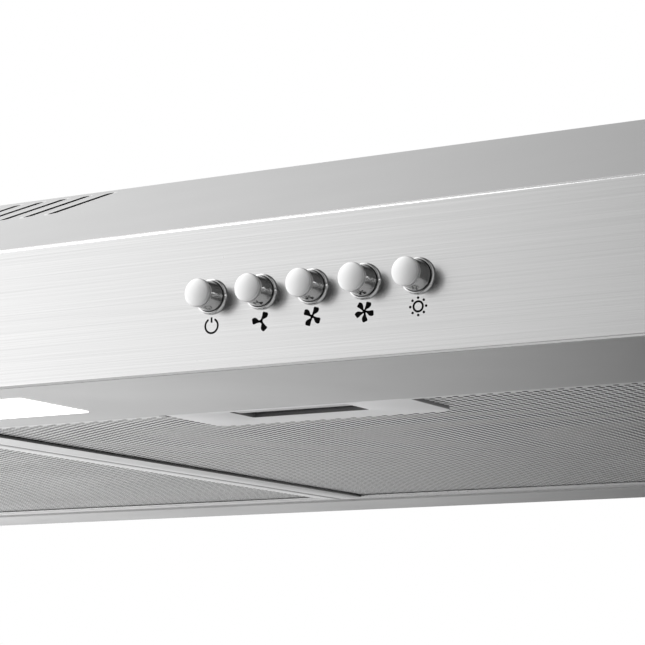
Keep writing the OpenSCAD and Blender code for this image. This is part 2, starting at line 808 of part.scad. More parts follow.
module filter_frame(side) {
    x0 = side * filter_mid;
    tab_w = 24;
    tab_z = flange_h + 0.8;
    color(aluminium) union() {
        difference() {
            filter_block(side, 0, filter_low, filter_top);
            block([x0 - filter_w / 2 + filter_border, filter_front + front_border, filter_low - 1],
                  [x0 + filter_w / 2 - filter_border, filter_back - filter_border, filter_top + 1]);
            filter_block(side, skin_t, screen_low, filter_top - skin_t);
            heel_corner(side);
            handle_room(side, 0);
        }
        for (s = [-1, 1]) {
            tab_x = x0 + s * filter_w / 3;
            block([tab_x - tab_w / 2, filter_back - 10, filter_top - eps],
                  [tab_x + tab_w / 2, filter_back - 4, tab_z + 1]);
            block([tab_x - tab_w / 2, filter_back - 10, tab_z],
                  [tab_x + tab_w / 2, filter_back + 10, tab_z + 1]);
        }
    }
}

module filter_screen(side) {
    color("#c2c4c6") difference() {
        filter_block(side, media_inset, screen_low, screen_low + screen_t);
        handle_room(side, 0.2);
    }
}

// Layers of expanded aluminium between the two screens, as separate sheets.
module filter_media(side) {
    step = (back_low - screen_low - screen_t - layer_t) / (layer_count + 1);
    color("#8e9092") difference() {
        for (i = [1:layer_count]) {
            low = screen_low + screen_t + i * step;
            filter_block(side, media_inset, low, low + layer_t);
        }
        handle_room(side, 0.2);
    }
}

module filter_back_screen(side) {
    color("#c2c4c6") difference() {
        filter_block(side, media_inset, back_low, back_low + screen_t);
        handle_room(side, 0.2);
    }
}

slot_front = filter_front + slot_inset;                  // front edge of the finger slot
face_t = 1.6;                                   // face of the handle plate round the slot
cavity_top = filter_top - 1.3;
cup_t = 1.2;                                    // walls of the latch's cup
leg_half = 12;
leg_front = slot_front + 6;
leg_d = 6;
slide_low = flange_h + 0.4;

// Handle plate with the finger slot; the latch slides in the cavity behind it.
module filter_handle(side) {
    x0 = side * filter_mid;
    corner = 5;
    front = filter_front;
    back = filter_front + handle_d;
    color("#cdcfd1") difference() {
        union() {
            block([x0 - handle_w / 2, front, filter_low],
                  [x0 + handle_w / 2, back - corner, filter_top]);
            block([x0 - handle_w / 2 + corner, front, filter_low],
                  [x0 + handle_w / 2 - corner, back, filter_top]);
            for (s = [-1, 1])
                translate([x0 + s * (handle_w / 2 - corner), back - corner, filter_low])
                    cylinder(h = filter_t, r = corner);
        }
        block([x0 - slot_w / 2, slot_front, filter_low - 1],
              [x0 + slot_w / 2, slot_front + slot_d, filter_low + face_t + 1]);
        block([x0 - slot_w / 2, slot_front, filter_low + face_t],
              [x0 + slot_w / 2, slot_front + slot_d + cup_t + latch_travel + 2 * gap, cavity_top]);
        block([x0 - leg_half - gap, leg_front - gap, cavity_top - 1],
              [x0 + leg_half + gap, leg_front + leg_d + latch_travel + gap, filter_top + 1]);
    }
}

// Latch: a cup for the finger with a rounded front bar, a leg and the tongue on the flange.
module latch(side) {
    x0 = side * filter_mid;
    half = slot_w / 2 - gap - 0.1;
    bar_front = slot_front + 0.8;
    bar_d = 9;
    bar_low = filter_low + 0.4;
    cup_low = filter_low + face_t + gap;
    cup_back = slot_front + slot_d + gap + cup_t;
    floor_low = cavity_top - gap - cup_t;
    bar_r = (floor_low + cup_t - bar_low) / 2 - 0.1;
    color("#9fa1a3") union() {
        block([x0 - half, bar_front, bar_low], [x0 + half, bar_front + bar_d - bar_r, floor_low + cup_t]);
        block([x0 - half, bar_front, bar_low + bar_r], [x0 + half, bar_front + bar_d, floor_low + cup_t]);
        translate([x0 - half, bar_front + bar_d - bar_r, bar_low + bar_r]) rotate([0, 90, 0])
            cylinder(h = 2 * half, r = bar_r);
        block([x0 - half, bar_front, floor_low], [x0 + half, cup_back, floor_low + cup_t]);
        block([x0 - half, cup_back - cup_t, cup_low], [x0 + half, cup_back, floor_low + cup_t]);
        block([x0 - leg_half, leg_front, floor_low], [x0 + leg_half, leg_front + leg_d, slide_low + 1]);
        block([x0 - leg_half - 6, strip_d - sheet_t - 3, slide_low],
              [x0 + leg_half + 6, leg_front + leg_d + 6, slide_low + 1.6]);
    }
}

module left_filter_frame() { filter_frame(-1); }
module left_filter_screen() { filter_screen(-1); }
module left_filter_media() { filter_media(-1); }
module left_filter_back() { filter_back_screen(-1); }
module left_filter_handle() { filter_handle(-1); }
module left_latch() { latch(-1); }
module right_filter_frame() { filter_frame(1); }
module right_filter_screen() { filter_screen(1); }
module right_filter_media() { filter_media(1); }
module right_filter_back() { filter_back_screen(1); }
module right_filter_handle() { filter_handle(1); }
module right_latch() { latch(1); }

in_frame() canopy_shell();
in_frame() left_side_panel();
in_frame() right_side_panel();
in_frame() front_fascia();
in_frame() underside_frame();
in_frame() filter_rail();
in_frame() button_bezels();
in_frame() switch_housing();
in_frame() switch_bracket();
in_frame() power_button();
in_frame() speed_1_button();
in_frame() speed_2_button();
in_frame() speed_3_button();
in_frame() light_button();
in_frame() power_plunger();
in_frame() speed_1_plunger();
in_frame() speed_2_plunger();
in_frame() speed_3_plunger();
in_frame() light_plunger();
in_frame() lamp_lens();
in_frame() lamp_tray();
in_frame() led_board();
in_frame() led_driver();
in_frame() blower_scroll();
in_frame() blower_cover();
in_frame() inlet_grille();
in_frame() motor();
in_frame() motor_bracket();
in_frame() motor_bushes();
in_frame() capacitor();
in_frame() capacitor_clip();
in_frame() fan_wheel();
in_frame() motor_shaft();
in_frame() carbon_cage();
in_frame() carbon_pad();
in_frame() junction_box();
in_frame() junction_cover();
in_frame() terminal_block();
in_frame() cable_gland();
in_frame() duct_collar();
in_frame() collar_gasket();
in_frame() damper_rod();
in_frame() front_damper_flap();
in_frame() rear_damper_flap();
in_frame() collar_screws();
in_frame() frame_screws();
in_frame() frame_brackets();
in_frame() blower_screws();
in_frame() left_filter_frame();
in_frame() left_filter_screen();
in_frame() left_filter_media();
in_frame() left_filter_back();
in_frame() left_filter_handle();
in_frame() left_latch();
in_frame() right_filter_frame();
in_frame() right_filter_screen();
in_frame() right_filter_media();
in_frame() right_filter_back();
in_frame() right_filter_handle();
in_frame() right_latch();
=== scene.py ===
"""Finishes and fine pieces of an under cabinet range hood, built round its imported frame."""

import logging
import math
from dataclasses import dataclass, field
from enum import Enum
from typing import Callable, Sequence

import bmesh
import bpy
from mathutils import Matrix, Vector


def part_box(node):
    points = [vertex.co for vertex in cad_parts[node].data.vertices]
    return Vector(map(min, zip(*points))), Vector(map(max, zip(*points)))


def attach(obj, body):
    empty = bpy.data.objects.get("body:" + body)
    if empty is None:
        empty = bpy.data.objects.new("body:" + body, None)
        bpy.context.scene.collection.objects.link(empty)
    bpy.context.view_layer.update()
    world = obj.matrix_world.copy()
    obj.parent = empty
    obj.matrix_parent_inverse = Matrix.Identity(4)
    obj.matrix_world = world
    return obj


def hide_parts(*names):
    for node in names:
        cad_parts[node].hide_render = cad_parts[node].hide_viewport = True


LOG = logging.getLogger("range_hood")
MM = 0.001
NOISE_SPAN = (0.3, 0.7)  # the range most noise values fall in
SMUDGE_SPAN = (0.35, 0.65)  # the same for the soft smudges
# The spans below place painted shade by the way a face leans.
DOWN_SPAN = (-0.5, -0.2)  # the normal's Z where a face counts as looking down, full to none
UPRIGHT_SPAN = (0.25, 0.8)  # the same for upright faces
SIDEWAYS_SPAN = (0.6, 0.9)  # the normal's X where a face counts as looking sideways, none to full
MERGE_DISTANCE = 2e-6  # vertices nearer than this are one
LATHE_UV = "lathe"  # UV map of turned pieces: turn and length along the profile

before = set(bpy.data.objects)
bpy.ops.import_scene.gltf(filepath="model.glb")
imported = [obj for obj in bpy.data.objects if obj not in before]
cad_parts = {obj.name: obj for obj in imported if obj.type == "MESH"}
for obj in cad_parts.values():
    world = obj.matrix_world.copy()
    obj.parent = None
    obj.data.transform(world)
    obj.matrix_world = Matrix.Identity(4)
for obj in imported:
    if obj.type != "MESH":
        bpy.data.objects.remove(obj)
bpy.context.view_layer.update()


class Grain(Enum):
    """Direction in which a sheet was brushed."""

    ACROSS = (0.6, 260.0, 260.0)
    FRONT_TO_BACK = (260.0, 0.6, 260.0)
    NONE = (90.0, 90.0, 90.0)


class Side(Enum):
    """The left and the right filter, as seen from the front."""

    LEFT = "left"
    RIGHT = "right"


# --- node helpers -------------------------------------------------------------------------


class Graph:
    """Adds and joins nodes in one node tree."""

    def __init__(self, tree: bpy.types.NodeTree) -> None:
        """Start on an empty tree.

        Args:
            tree: The node tree to fill.
        """
        self.tree = tree
        tree.nodes.clear()

    def add(self, kind: str, inputs: dict | None = None, **props: object) -> bpy.types.Node:
        """Add a node and set it up.

        Args:
            kind: The node's type name.
            inputs: Values or sockets for its inputs, by name or number.
            **props: Values for the node's own properties.

        Returns:
            The new node.
        """
        node = self.tree.nodes.new(kind)
        for name, value in props.items():
            setattr(node, name, value)
        for name, value in (inputs or {}).items():
            if isinstance(value, bpy.types.NodeSocket):
                self.tree.links.new(value, node.inputs[name])
            else:
                node.inputs[name].default_value = value
        return node

    def math(self, operation: str, *values: object) -> bpy.types.NodeSocket:
        """Add a shader Math node and return its output.

        Args:
            operation: The node's operation.
            *values: Numbers or sockets for its inputs.

        Returns:
            The result's socket.
        """
        node = self.add("ShaderNodeMath", dict(enumerate(values)), operation=operation)
        return node.outputs[0]

    def remap(self, value: object, low: float, high: float, start: float = 0.0,
              end: float = 1.0) -> bpy.types.NodeSocket:
        """Map a value from one range to another.

        Args:
            value: The socket to map.
            low: Result at start.
            high: Result at end.
            start: Start of the incoming range.
            end: End of the incoming range.

        Returns:
            The mapped socket.
        """
        node = self.add("ShaderNodeMapRange", {
            "Value": value, "From Min": start, "From Max": end, "To Min": low, "To Max": high})
        return node.outputs["Result"]

    def ramp(self, value: bpy.types.NodeSocket,
             stops: Sequence[tuple[float, Sequence[float]]]) -> bpy.types.NodeSocket:
        """Map a value to a colour.

        Args:
            value: The socket to map.
            stops: Positions and colours.

        Returns:
            The colour's socket.
        """
        node = self.add("ShaderNodeValToRGB", {"Fac": value})
        ramp = node.color_ramp
        while len(ramp.elements) < len(stops):
            ramp.elements.new(1.0)
        for element, (place, colour) in zip(ramp.elements, stops):
            element.position = place
            element.color = (*colour, 1.0)
        return node.outputs["Color"]


def shader_group(name: str, inputs: dict[str, float], outputs: dict[str, str],
                 fill: Callable[[Graph, bpy.types.Node], dict]) -> bpy.types.NodeTree:
    """Make a shader node group once.

    Args:
        name: The group's name.
        inputs: Names and default values of its float inputs.
        outputs: Names and socket types of its outputs.
        fill: Builds the inside and returns the sockets for the outputs.

    Returns:
        The group.
    """
    known = bpy.data.node_groups.get(name)
    if known:
        return known
    tree = bpy.data.node_groups.new(name, "ShaderNodeTree")
    for label, value in inputs.items():
        socket = tree.interface.new_socket(name=label, in_out="INPUT", socket_type="NodeSocketFloat")
        socket.default_value = value
    for label, kind in outputs.items():
        tree.interface.new_socket(name=label, in_out="OUTPUT", socket_type=kind)
    graph = Graph(tree)
    made = fill(graph, graph.add("NodeGroupInput"))
    graph.add("NodeGroupOutput", made)
    return tree


def _fill_grain(graph: Graph, given: bpy.types.Node) -> dict:
    """Fill the grain group: fine streaks, broad streaks and their height."""
    place = graph.add("ShaderNodeTexCoord").outputs["Object"]
    stretch = graph.add("ShaderNodeCombineXYZ", {
        0: given.outputs["Scale X"], 1: given.outputs["Scale Y"], 2: given.outputs["Scale Z"]})
    spread = graph.add("ShaderNodeVectorMath", {0: place, 1: stretch.outputs[0]},
                       operation="MULTIPLY").outputs[0]
    fine = graph.add("ShaderNodeTexNoise", {
        "Vector": spread, "Scale": 14.0, "Detail": 4.0, "Roughness": 0.75}).outputs["Fac"]
    broad = graph.add("ShaderNodeTexNoise", {
        "Vector": spread, "Scale": 11.0, "Detail": 3.0, "Roughness": 0.6}).outputs["Fac"]
    mixed = graph.math("ADD", graph.math("MULTIPLY", fine, 0.35), graph.math("MULTIPLY", broad, 0.65))
    return {"Streak": mixed, "Height": fine}


def _fill_handling(graph: Graph, given: bpy.types.Node) -> dict:
    """Fill the handling group: soft smudges and a little dust."""
    place = graph.add("ShaderNodeTexCoord").outputs["Object"]
    smudge = graph.add("ShaderNodeTexNoise", {
        "Vector": place, "Scale": given.outputs["Scale"], "Detail": 4.0, "Roughness": 0.55,
        "Distortion": 0.4}).outputs["Fac"]
    specks = graph.add("ShaderNodeTexNoise", {
        "Vector": place, "Scale": 900.0, "Detail": 2.0, "Roughness": 0.5}).outputs["Fac"]
    dust = graph.remap(specks, 0.0, 1.0, 0.62, 0.78)
    return {"Smudge": smudge, "Dust": graph.math("MULTIPLY", dust, given.outputs["Dust"])}


def _fill_lean(graph: Graph, given: bpy.types.Node) -> dict:
    """Fill the lean group: which faces look down, stand upright or look sideways."""
    normal = graph.add("ShaderNodeTexCoord").outputs["Normal"]
    parts = graph.add("ShaderNodeSeparateXYZ", {0: normal}).outputs
    rise = parts["Z"]
    side = graph.remap(graph.math("ABSOLUTE", parts["X"]), 0.0, 1.0, *SIDEWAYS_SPAN)
    down = graph.remap(rise, 1.0, 0.0, *DOWN_SPAN)
    upright = graph.remap(graph.math("ABSOLUTE", rise), 1.0, 0.0, *UPRIGHT_SPAN)
    return {"Down": graph.math("MULTIPLY", down, given.outputs["Down share"]),
            "Upright": graph.math("MULTIPLY", upright, given.outputs["Upright share"]),
            "Sideways": graph.math("MULTIPLY", side, given.outputs["Sideways share"])}


def lean_group() -> bpy.types.NodeTree:
    """Return the group that tells which way a face leans, for placing painted shade."""
    return shader_group(
        "face_lean", {"Down share": 1.0, "Upright share": 1.0, "Sideways share": 1.0},
        {"Down": "NodeSocketFloat", "Upright": "NodeSocketFloat", "Sideways": "NodeSocketFloat"},
        _fill_lean)


def grain_group() -> bpy.types.NodeTree:
    """Return the group that gives brushed grain."""
    return shader_group(
        "brushed_grain", {"Scale X": 1.0, "Scale Y": 260.0, "Scale Z": 260.0},
        {"Streak": "NodeSocketFloat", "Height": "NodeSocketFloat"}, _fill_grain)


def handling_group() -> bpy.types.NodeTree:
    """Return the group that gives smudges and dust."""
    return shader_group(
        "handling_marks", {"Scale": 14.0, "Dust": 1.0},
        {"Smudge": "NodeSocketFloat", "Dust": "NodeSocketFloat"}, _fill_handling)


# --- finishes -----------------------------------------------------------------------------


@dataclass(frozen=True)
class Finish:
    """A finish: its name and the values every material shares.

    Attributes:
        name: The finish's name, from which the material's name is made.
        color: Base colour, linear.
        roughness: Middle roughness.
        metallic: 1 for bare metal.
        specular: Strength of the reflection of a surface that isn't metal.
    """

    name: str
    color: tuple[float, float, float]
    roughness: float = 0.4
    metallic: float = 0.0
    specular: float = 0.5

    def material(self) -> bpy.types.Material:
        """Return the material, made once."""
        label = f"{self.name}_finish"
        known = bpy.data.materials.get(label)
        if known:
            return known
        made = bpy.data.materials.new(label)
        made.use_nodes = True
        graph = Graph(made.node_tree)
        shader = graph.add("ShaderNodeBsdfPrincipled", {
            "Metallic": self.metallic, "Roughness": self.roughness,
            "Specular IOR Level": self.specular})
        self.dress(graph, shader)
        graph.add("ShaderNodeOutputMaterial", {"Surface": shader.outputs["BSDF"]})
        return made

    def dress(self, graph: Graph, shader: bpy.types.Node) -> None:
        """Join the patterns to the shader.

        Args:
            graph: The material's graph.
            shader: The Principled BSDF.
        """
        raise NotImplementedError

    def shaded(self, graph: Graph, shader: bpy.types.Node, tone: bpy.types.NodeSocket,
               painted_shade_mask: bpy.types.NodeSocket) -> bpy.types.NodeSocket:
        """Paint shade into the finish where painted_shade_mask is near one: a darker colour and less
        metal reflection.

        Args:
            graph: The material's graph.
            shader: Its shader.
            tone: The finish's colour.
            painted_shade_mask: Where the painted shade lies, from none (0) to full (1).

        Returns:
            The colour darkened by the painted shade.
        """
        clear = graph.math("SUBTRACT", 1.0, painted_shade_mask)
        graph.tree.links.new(graph.math("MULTIPLY", clear, self.metallic), shader.inputs["Metallic"])
        return graph.add("ShaderNodeVectorMath", {0: tone, "Scale": clear}, operation="SCALE").outputs[0]

    def join(self, graph: Graph, shader: bpy.types.Node, tone: bpy.types.NodeSocket,
             rough: bpy.types.NodeSocket, bump: bpy.types.Node) -> None:
        """Join colour, roughness and bump to the shader.

        Args:
            graph: The material's graph.
            shader: The Principled BSDF.
            tone: The colour.
            rough: The roughness.
            bump: The bump node.
        """
        graph.tree.links.new(tone, shader.inputs["Base Color"])
        graph.tree.links.new(rough, shader.inputs["Roughness"])
        graph.tree.links.new(bump.outputs["Normal"], shader.inputs["Normal"])

    def shades(self, low: float, high: float) -> list[tuple[float, tuple[float, ...]]]:
        """Return two colour stops round the base colour."""
        return [(0.0, tuple(c * low for c in self.color)), (1.0, tuple(c * high for c in self.color))]


@dataclass(frozen=True)
class BrushedMetal(Finish):
    """Sheet metal with fine parallel scratches.

    Attributes:
        grain: Direction of the scratches.
        depth: Height of the scratches, in metres.
        contrast: How much the scratches change the shade.
        scatter: How much they change the roughness.
        inside: Strength of the painted shade on the sheet's inner side, which looks down.
        cut: Strength of the painted shade on cut edges, which look sideways.
    """

    metallic: float = 1.0
    grain: Grain = Grain.ACROSS
    depth: float = 0.00001
    contrast: float = 0.06
    scatter: float = 0.025
    inside: float = 0.0
    cut: float = 0.0

    def dress(self, graph: Graph, shader: bpy.types.Node) -> None:
        """Join grain, handling marks and painted shade (where inside or cut is set) to colour, roughness
        and normal.
        """
        grain = graph.add("ShaderNodeGroup", node_tree=grain_group())
        for label, value in zip(("Scale X", "Scale Y", "Scale Z"), self.grain.value):
            grain.inputs[label].default_value = value
        marks = graph.add("ShaderNodeGroup", node_tree=handling_group())
        streak = grain.outputs["Streak"]
        tone = graph.ramp(graph.remap(streak, 0.0, 1.0, *NOISE_SPAN),
                          self.shades(1.0 - self.contrast, 1.0 + self.contrast))
        rough = graph.remap(streak, self.roughness - self.scatter, self.roughness + self.scatter,
                            *NOISE_SPAN)
        smudge = graph.remap(marks.outputs["Smudge"], -0.02, 0.02, *SMUDGE_SPAN)
        dust = graph.math("MULTIPLY", marks.outputs["Dust"], 0.05)
        total = graph.math("ADD", graph.math("ADD", rough, smudge), dust)
        bump = graph.add("ShaderNodeBump", {
            "Height": grain.outputs["Height"], "Distance": self.depth, "Strength": 0.5})
        # Painted shade: faces that look down or sideways get a darker colour and lose their metal
        # reflection.
        if self.inside or self.cut:
            lean = graph.add("ShaderNodeGroup", {
                "Down share": self.inside, "Sideways share": self.cut}, node_tree=lean_group())
            painted_shade_mask = graph.math("MAXIMUM", lean.outputs["Down"], lean.outputs["Sideways"])
            tone = self.shaded(graph, shader, tone, painted_shade_mask)
        self.join(graph, shader, tone, total, bump)


@dataclass(frozen=True)
class SpeckledMetal(Finish):
    """Cast, zinc-coated or drawn metal with a cell or speckle pattern.

    Attributes:
        cell: Cells for each metre.
        contrast: How much the cells change the shade.
        bump: Height of the pattern, in metres.
        walls: Painted shade on cut edges and other upright faces, such as the walls of punched holes:
            how much it darkens them.
    """

    metallic: float = 1.0
    cell: float = 120.0
    contrast: float = 0.1
    bump: float = 0.00002
    walls: float = 0.0

    def dress(self, graph: Graph, shader: bpy.types.Node) -> None:
        """Join the cells, and painted shade where walls is set, to colour, roughness and normal."""
        place = graph.add("ShaderNodeTexCoord").outputs["Object"]
        cells = graph.add("ShaderNodeTexVoronoi", {"Vector": place, "Scale": self.cell})
        fine = graph.add("ShaderNodeTexNoise", {
            "Vector": place, "Scale": self.cell * 9.0, "Detail": 4.0}).outputs["Fac"]
        value = graph.add("ShaderNodeSeparateColor", {"Color": cells.outputs["Color"]}).outputs[0]
        mixed = graph.math("ADD", graph.math("MULTIPLY", value, 0.6), graph.math("MULTIPLY", fine, 0.4))
        marks = graph.add("ShaderNodeGroup", node_tree=handling_group())
        tone = graph.ramp(mixed, self.shades(1.0 - self.contrast, 1.0 + self.contrast))
        rough = graph.math("ADD", graph.remap(mixed, self.roughness - 0.07, self.roughness + 0.07),
                           graph.remap(marks.outputs["Smudge"], -0.03, 0.03, *SMUDGE_SPAN))
        bump = graph.add("ShaderNodeBump", {"Height": fine, "Distance": self.bump, "Strength": 0.6})
        # Painted shade: upright faces get a darker colour and lose their metal reflection.
        if self.walls:
            lean = graph.add("ShaderNodeGroup", {"Upright share": self.walls}, node_tree=lean_group())
            tone = self.shaded(graph, shader, tone, lean.outputs["Upright"])
        self.join(graph, shader, tone, rough, bump)


@dataclass(frozen=True)
class TurnedMetal(Finish):
    """Turned metal: fine rings that follow the lathe profile in the piece's own UV map.

    Attributes:
        rings: Rings for each millimetre of the profile's length.
    """

    metallic: float = 1.0
    rings: float = 70.0

    def dress(self, graph: Graph, shader: bpy.types.Node) -> None:
        """Join the turning rings to colour, roughness and normal."""
        map_node = graph.add("ShaderNodeUVMap", uv_map=LATHE_UV)
        parts = graph.add("ShaderNodeSeparateXYZ", {0: map_node.outputs["UV"]})
        along = graph.math("MULTIPLY", parts.outputs["Y"], self.rings)
        around = graph.math("MULTIPLY", parts.outputs["X"], 3.0)
        spot = graph.add("ShaderNodeCombineXYZ", {0: around, 1: along})
        turning = graph.add("ShaderNodeTexNoise", {
            "Vector": spot.outputs[0], "Scale": 1.0, "Detail": 3.0, "Roughness": 0.7}).outputs["Fac"]
        evened = graph.remap(turning, 0.0, 1.0, *NOISE_SPAN)
        tone = graph.ramp(evened, self.shades(0.93, 1.05))
        rough = graph.remap(turning, self.roughness - 0.05, self.roughness + 0.07, *NOISE_SPAN)
        bump = graph.add("ShaderNodeBump", {"Height": turning, "Distance": 0.00001, "Strength": 0.5})
        self.join(graph, shader, tone, rough, bump)


@dataclass(frozen=True)
class Moulded(Finish):
    """Plastic or rubber with a fine moulded texture.

    Attributes:
        texture: Texture features for each metre.
        bump: Height of the texture, in metres.
        walls: Darkening of upright walls, which lie in deep shade.
    """

    texture: float = 1500.0
    bump: float = 0.00003
    walls: float = 0.0

    def dress(self, graph: Graph, shader: bpy.types.Node) -> None:
        """Join the moulded texture, and painted shade where walls is set, to colour, roughness and
        normal.
        """
        place = graph.add("ShaderNodeTexCoord").outputs["Object"]
        pits = graph.add("ShaderNodeTexNoise", {
            "Vector": place, "Scale": self.texture, "Detail": 3.0}).outputs["Fac"]
        marks = graph.add("ShaderNodeGroup", {"Scale": 22.0}, node_tree=handling_group())
        tone = graph.ramp(marks.outputs["Smudge"], self.shades(0.93, 1.05))
        rough = graph.math("ADD", graph.remap(marks.outputs["Smudge"], -0.05, 0.05, *SMUDGE_SPAN),
                           graph.remap(pits, self.roughness - 0.04, self.roughness + 0.04))
        bump = graph.add("ShaderNodeBump", {"Height": pits, "Distance": self.bump, "Strength": 0.5})
        if self.walls:
            lean = graph.add("ShaderNodeGroup", {"Upright share": self.walls}, node_tree=lean_group())
            tone = self.shaded(graph, shader, tone, lean.outputs["Upright"])
        self.join(graph, shader, tone, rough, bump)


@dataclass(frozen=True)
class WovenMesh(Finish):
    """Expanded aluminium sheet, as in a filter's inner layers and its back.

    Attributes:
        pitch: Spacing of the diamonds, in metres.
        slant: Slope of the strands: how much less they change along Y than along X.
    """

    metallic: float = 1.0
    pitch: float = 0.0026
    slant: float = 0.55

    def dress(self, graph: Graph, shader: bpy.types.Node) -> None:
        """Join two crossing waves, as strands and gaps darkened with painted shade, to colour and
        normal.
        """
        place = graph.add("ShaderNodeTexCoord").outputs["Object"]
        parts = graph.add("ShaderNodeSeparateXYZ", {0: place})
        turn = 2.0 * math.pi / self.pitch
        across = graph.math("MULTIPLY", parts.outputs["X"], turn)
        along = graph.math("MULTIPLY", parts.outputs["Y"], turn * self.slant)
        first, second = (graph.math(operation, across, along) for operation in ("ADD", "SUBTRACT"))
        weave = graph.math("MAXIMUM", graph.math("SINE", first), graph.math("SINE", second))
        strand = graph.remap(weave, 0.0, 1.0, 0.35, 0.95)
        # Painted shade: the gaps between the strands are a quarter as bright as the strands.
        tone = graph.ramp(strand, [(0.0, tuple(c * 0.25 for c in self.color)), (1.0, self.color)])
        bump = graph.add("ShaderNodeBump", {"Height": strand, "Distance": 0.0003, "Strength": 0.8})
        self.join(graph, shader, tone, graph.remap(strand, 0.6, self.roughness), bump)


@dataclass(frozen=True)
class LitDiffuser(Finish):
    """Opal lens, lit from behind by a row of lamps.

    Attributes:
        glow: Brightness of the lens.
        step: Distance between the lamps behind it, in metres.
    """

    glow: float = 1.7
    step: float = 0.015

    def dress(self, graph: Graph, shader: bpy.types.Node) -> None:
        """Join a soft row of bright spots to the emission colour."""
        place = graph.add("ShaderNodeTexCoord").outputs["Object"]
        parts = graph.add("ShaderNodeSeparateXYZ", {0: place})
        wave = graph.math("COSINE", graph.math("MULTIPLY", parts.outputs["X"], 2 * math.pi / self.step))
        light = graph.ramp(graph.remap(wave, 0.0, 1.0, -1.0, 1.0),
                           [(0.0, (0.93, 0.93, 0.92)), (1.0, (1.0, 1.0, 0.99))])
        graph.tree.links.new(light, shader.inputs["Emission Color"])
        graph.tree.links.new(light, shader.inputs["Base Color"])
        shader.inputs["Emission Strength"].default_value = self.glow


FASCIA = BrushedMetal("fascia_steel", (0.81, 0.81, 0.81), 0.21, contrast=0.09)
CANOPY = BrushedMetal("canopy_steel", (0.72, 0.72, 0.72), 0.35, contrast=0.03)
# shell_steel carries painted shade on the shell's inner side and on its cut edges, so the louvre slots
# look dark.
SHELL = BrushedMetal("shell_steel", (0.72, 0.72, 0.72), 0.35, contrast=0.03, inside=0.96, cut=0.97)
FRAME = BrushedMetal("frame_steel", (0.52, 0.52, 0.52), 0.33, contrast=0.02)
# filter_aluminium carries painted shade on faces that look sideways, such as the frame's side walls.
ALUMINIUM = BrushedMetal("filter_aluminium", (0.72, 0.72, 0.72), 0.3, grain=Grain.NONE, contrast=0.03,
                         cut=0.94)
# Painted highlight: the louvre rims are the canopy's steel, coloured near white to stand for the light
# they catch.
LIP_PAINTED_HIGHLIGHT = BrushedMetal("lip_steel_painted_highlight", (0.97, 0.97, 0.97), 0.4, contrast=0.02)
# screen_aluminium carries painted shade on the walls of its holes, so the holes look dark.
SCREEN = SpeckledMetal("screen_aluminium", (0.76, 0.76, 0.76), 0.4, cell=400.0, contrast=0.04,
                       walls=0.97)
# Painted shade: the aluminium media is coloured near black so that the screen's holes look dark.
MEDIA_PAINTED_DARK = WovenMesh("media_aluminium_painted_shade", (0.10, 0.10, 0.10), 0.5)
BACKING = WovenMesh("backing_aluminium", (0.62, 0.62, 0.62), 0.42, pitch=0.004)
GALVANISED = SpeckledMetal("galvanised_steel", (0.62, 0.63, 0.64), 0.45, cell=85.0, contrast=0.14)
CAST = SpeckledMetal("motor_metal", (0.55, 0.56, 0.57), 0.5, cell=600.0)
ZINC = SpeckledMetal("screw_steel", (0.70, 0.70, 0.71), 0.3, cell=900.0, contrast=0.05)
SHAFT = SpeckledMetal("shaft_steel", (0.66, 0.66, 0.67), 0.22, cell=1500.0, contrast=0.04)
# handle_plastic and latch_plastic carry painted shade on their upright walls, such as the finger slot's.
HANDLE = Moulded("handle_plastic", (0.92, 0.92, 0.925), 0.5, metallic=0.9, walls=0.86)
LATCH = Moulded("latch_plastic", (0.60, 0.60, 0.605), 0.4, metallic=0.9, walls=0.95)
WHITE = Moulded("white_plastic", (0.80, 0.80, 0.78), 0.35)
BLACK = Moulded("black_plastic", (0.022, 0.022, 0.024), 0.42, texture=900.0)
BOARD = Moulded("circuit_board", (0.70, 0.74, 0.68), 0.4)
RUBBER = Moulded("black_rubber", (0.018, 0.018, 0.018), 0.75, texture=700.0)
INK = Moulded("printed_ink", (0.004, 0.004, 0.004), 0.8, specular=0.05, texture=3000.0, bump=0.000005)
FOAM = Moulded("carbon_foam", (0.012, 0.012, 0.012), 0.95, texture=420.0, bump=0.0012)
LENS = LitDiffuser("lamp_diffuser", (0.96, 0.96, 0.96), 0.3)
BUTTON = TurnedMetal("button_metal", (0.58, 0.58, 0.58), 0.13)
DISC = TurnedMetal("button_disc", (0.80, 0.80, 0.80), 0.5)
BEZEL = TurnedMetal("bezel_metal", (0.66, 0.66, 0.66), 0.16)

BUTTON_NAMES = ("power", "speed_1", "speed_2", "speed_3", "light")

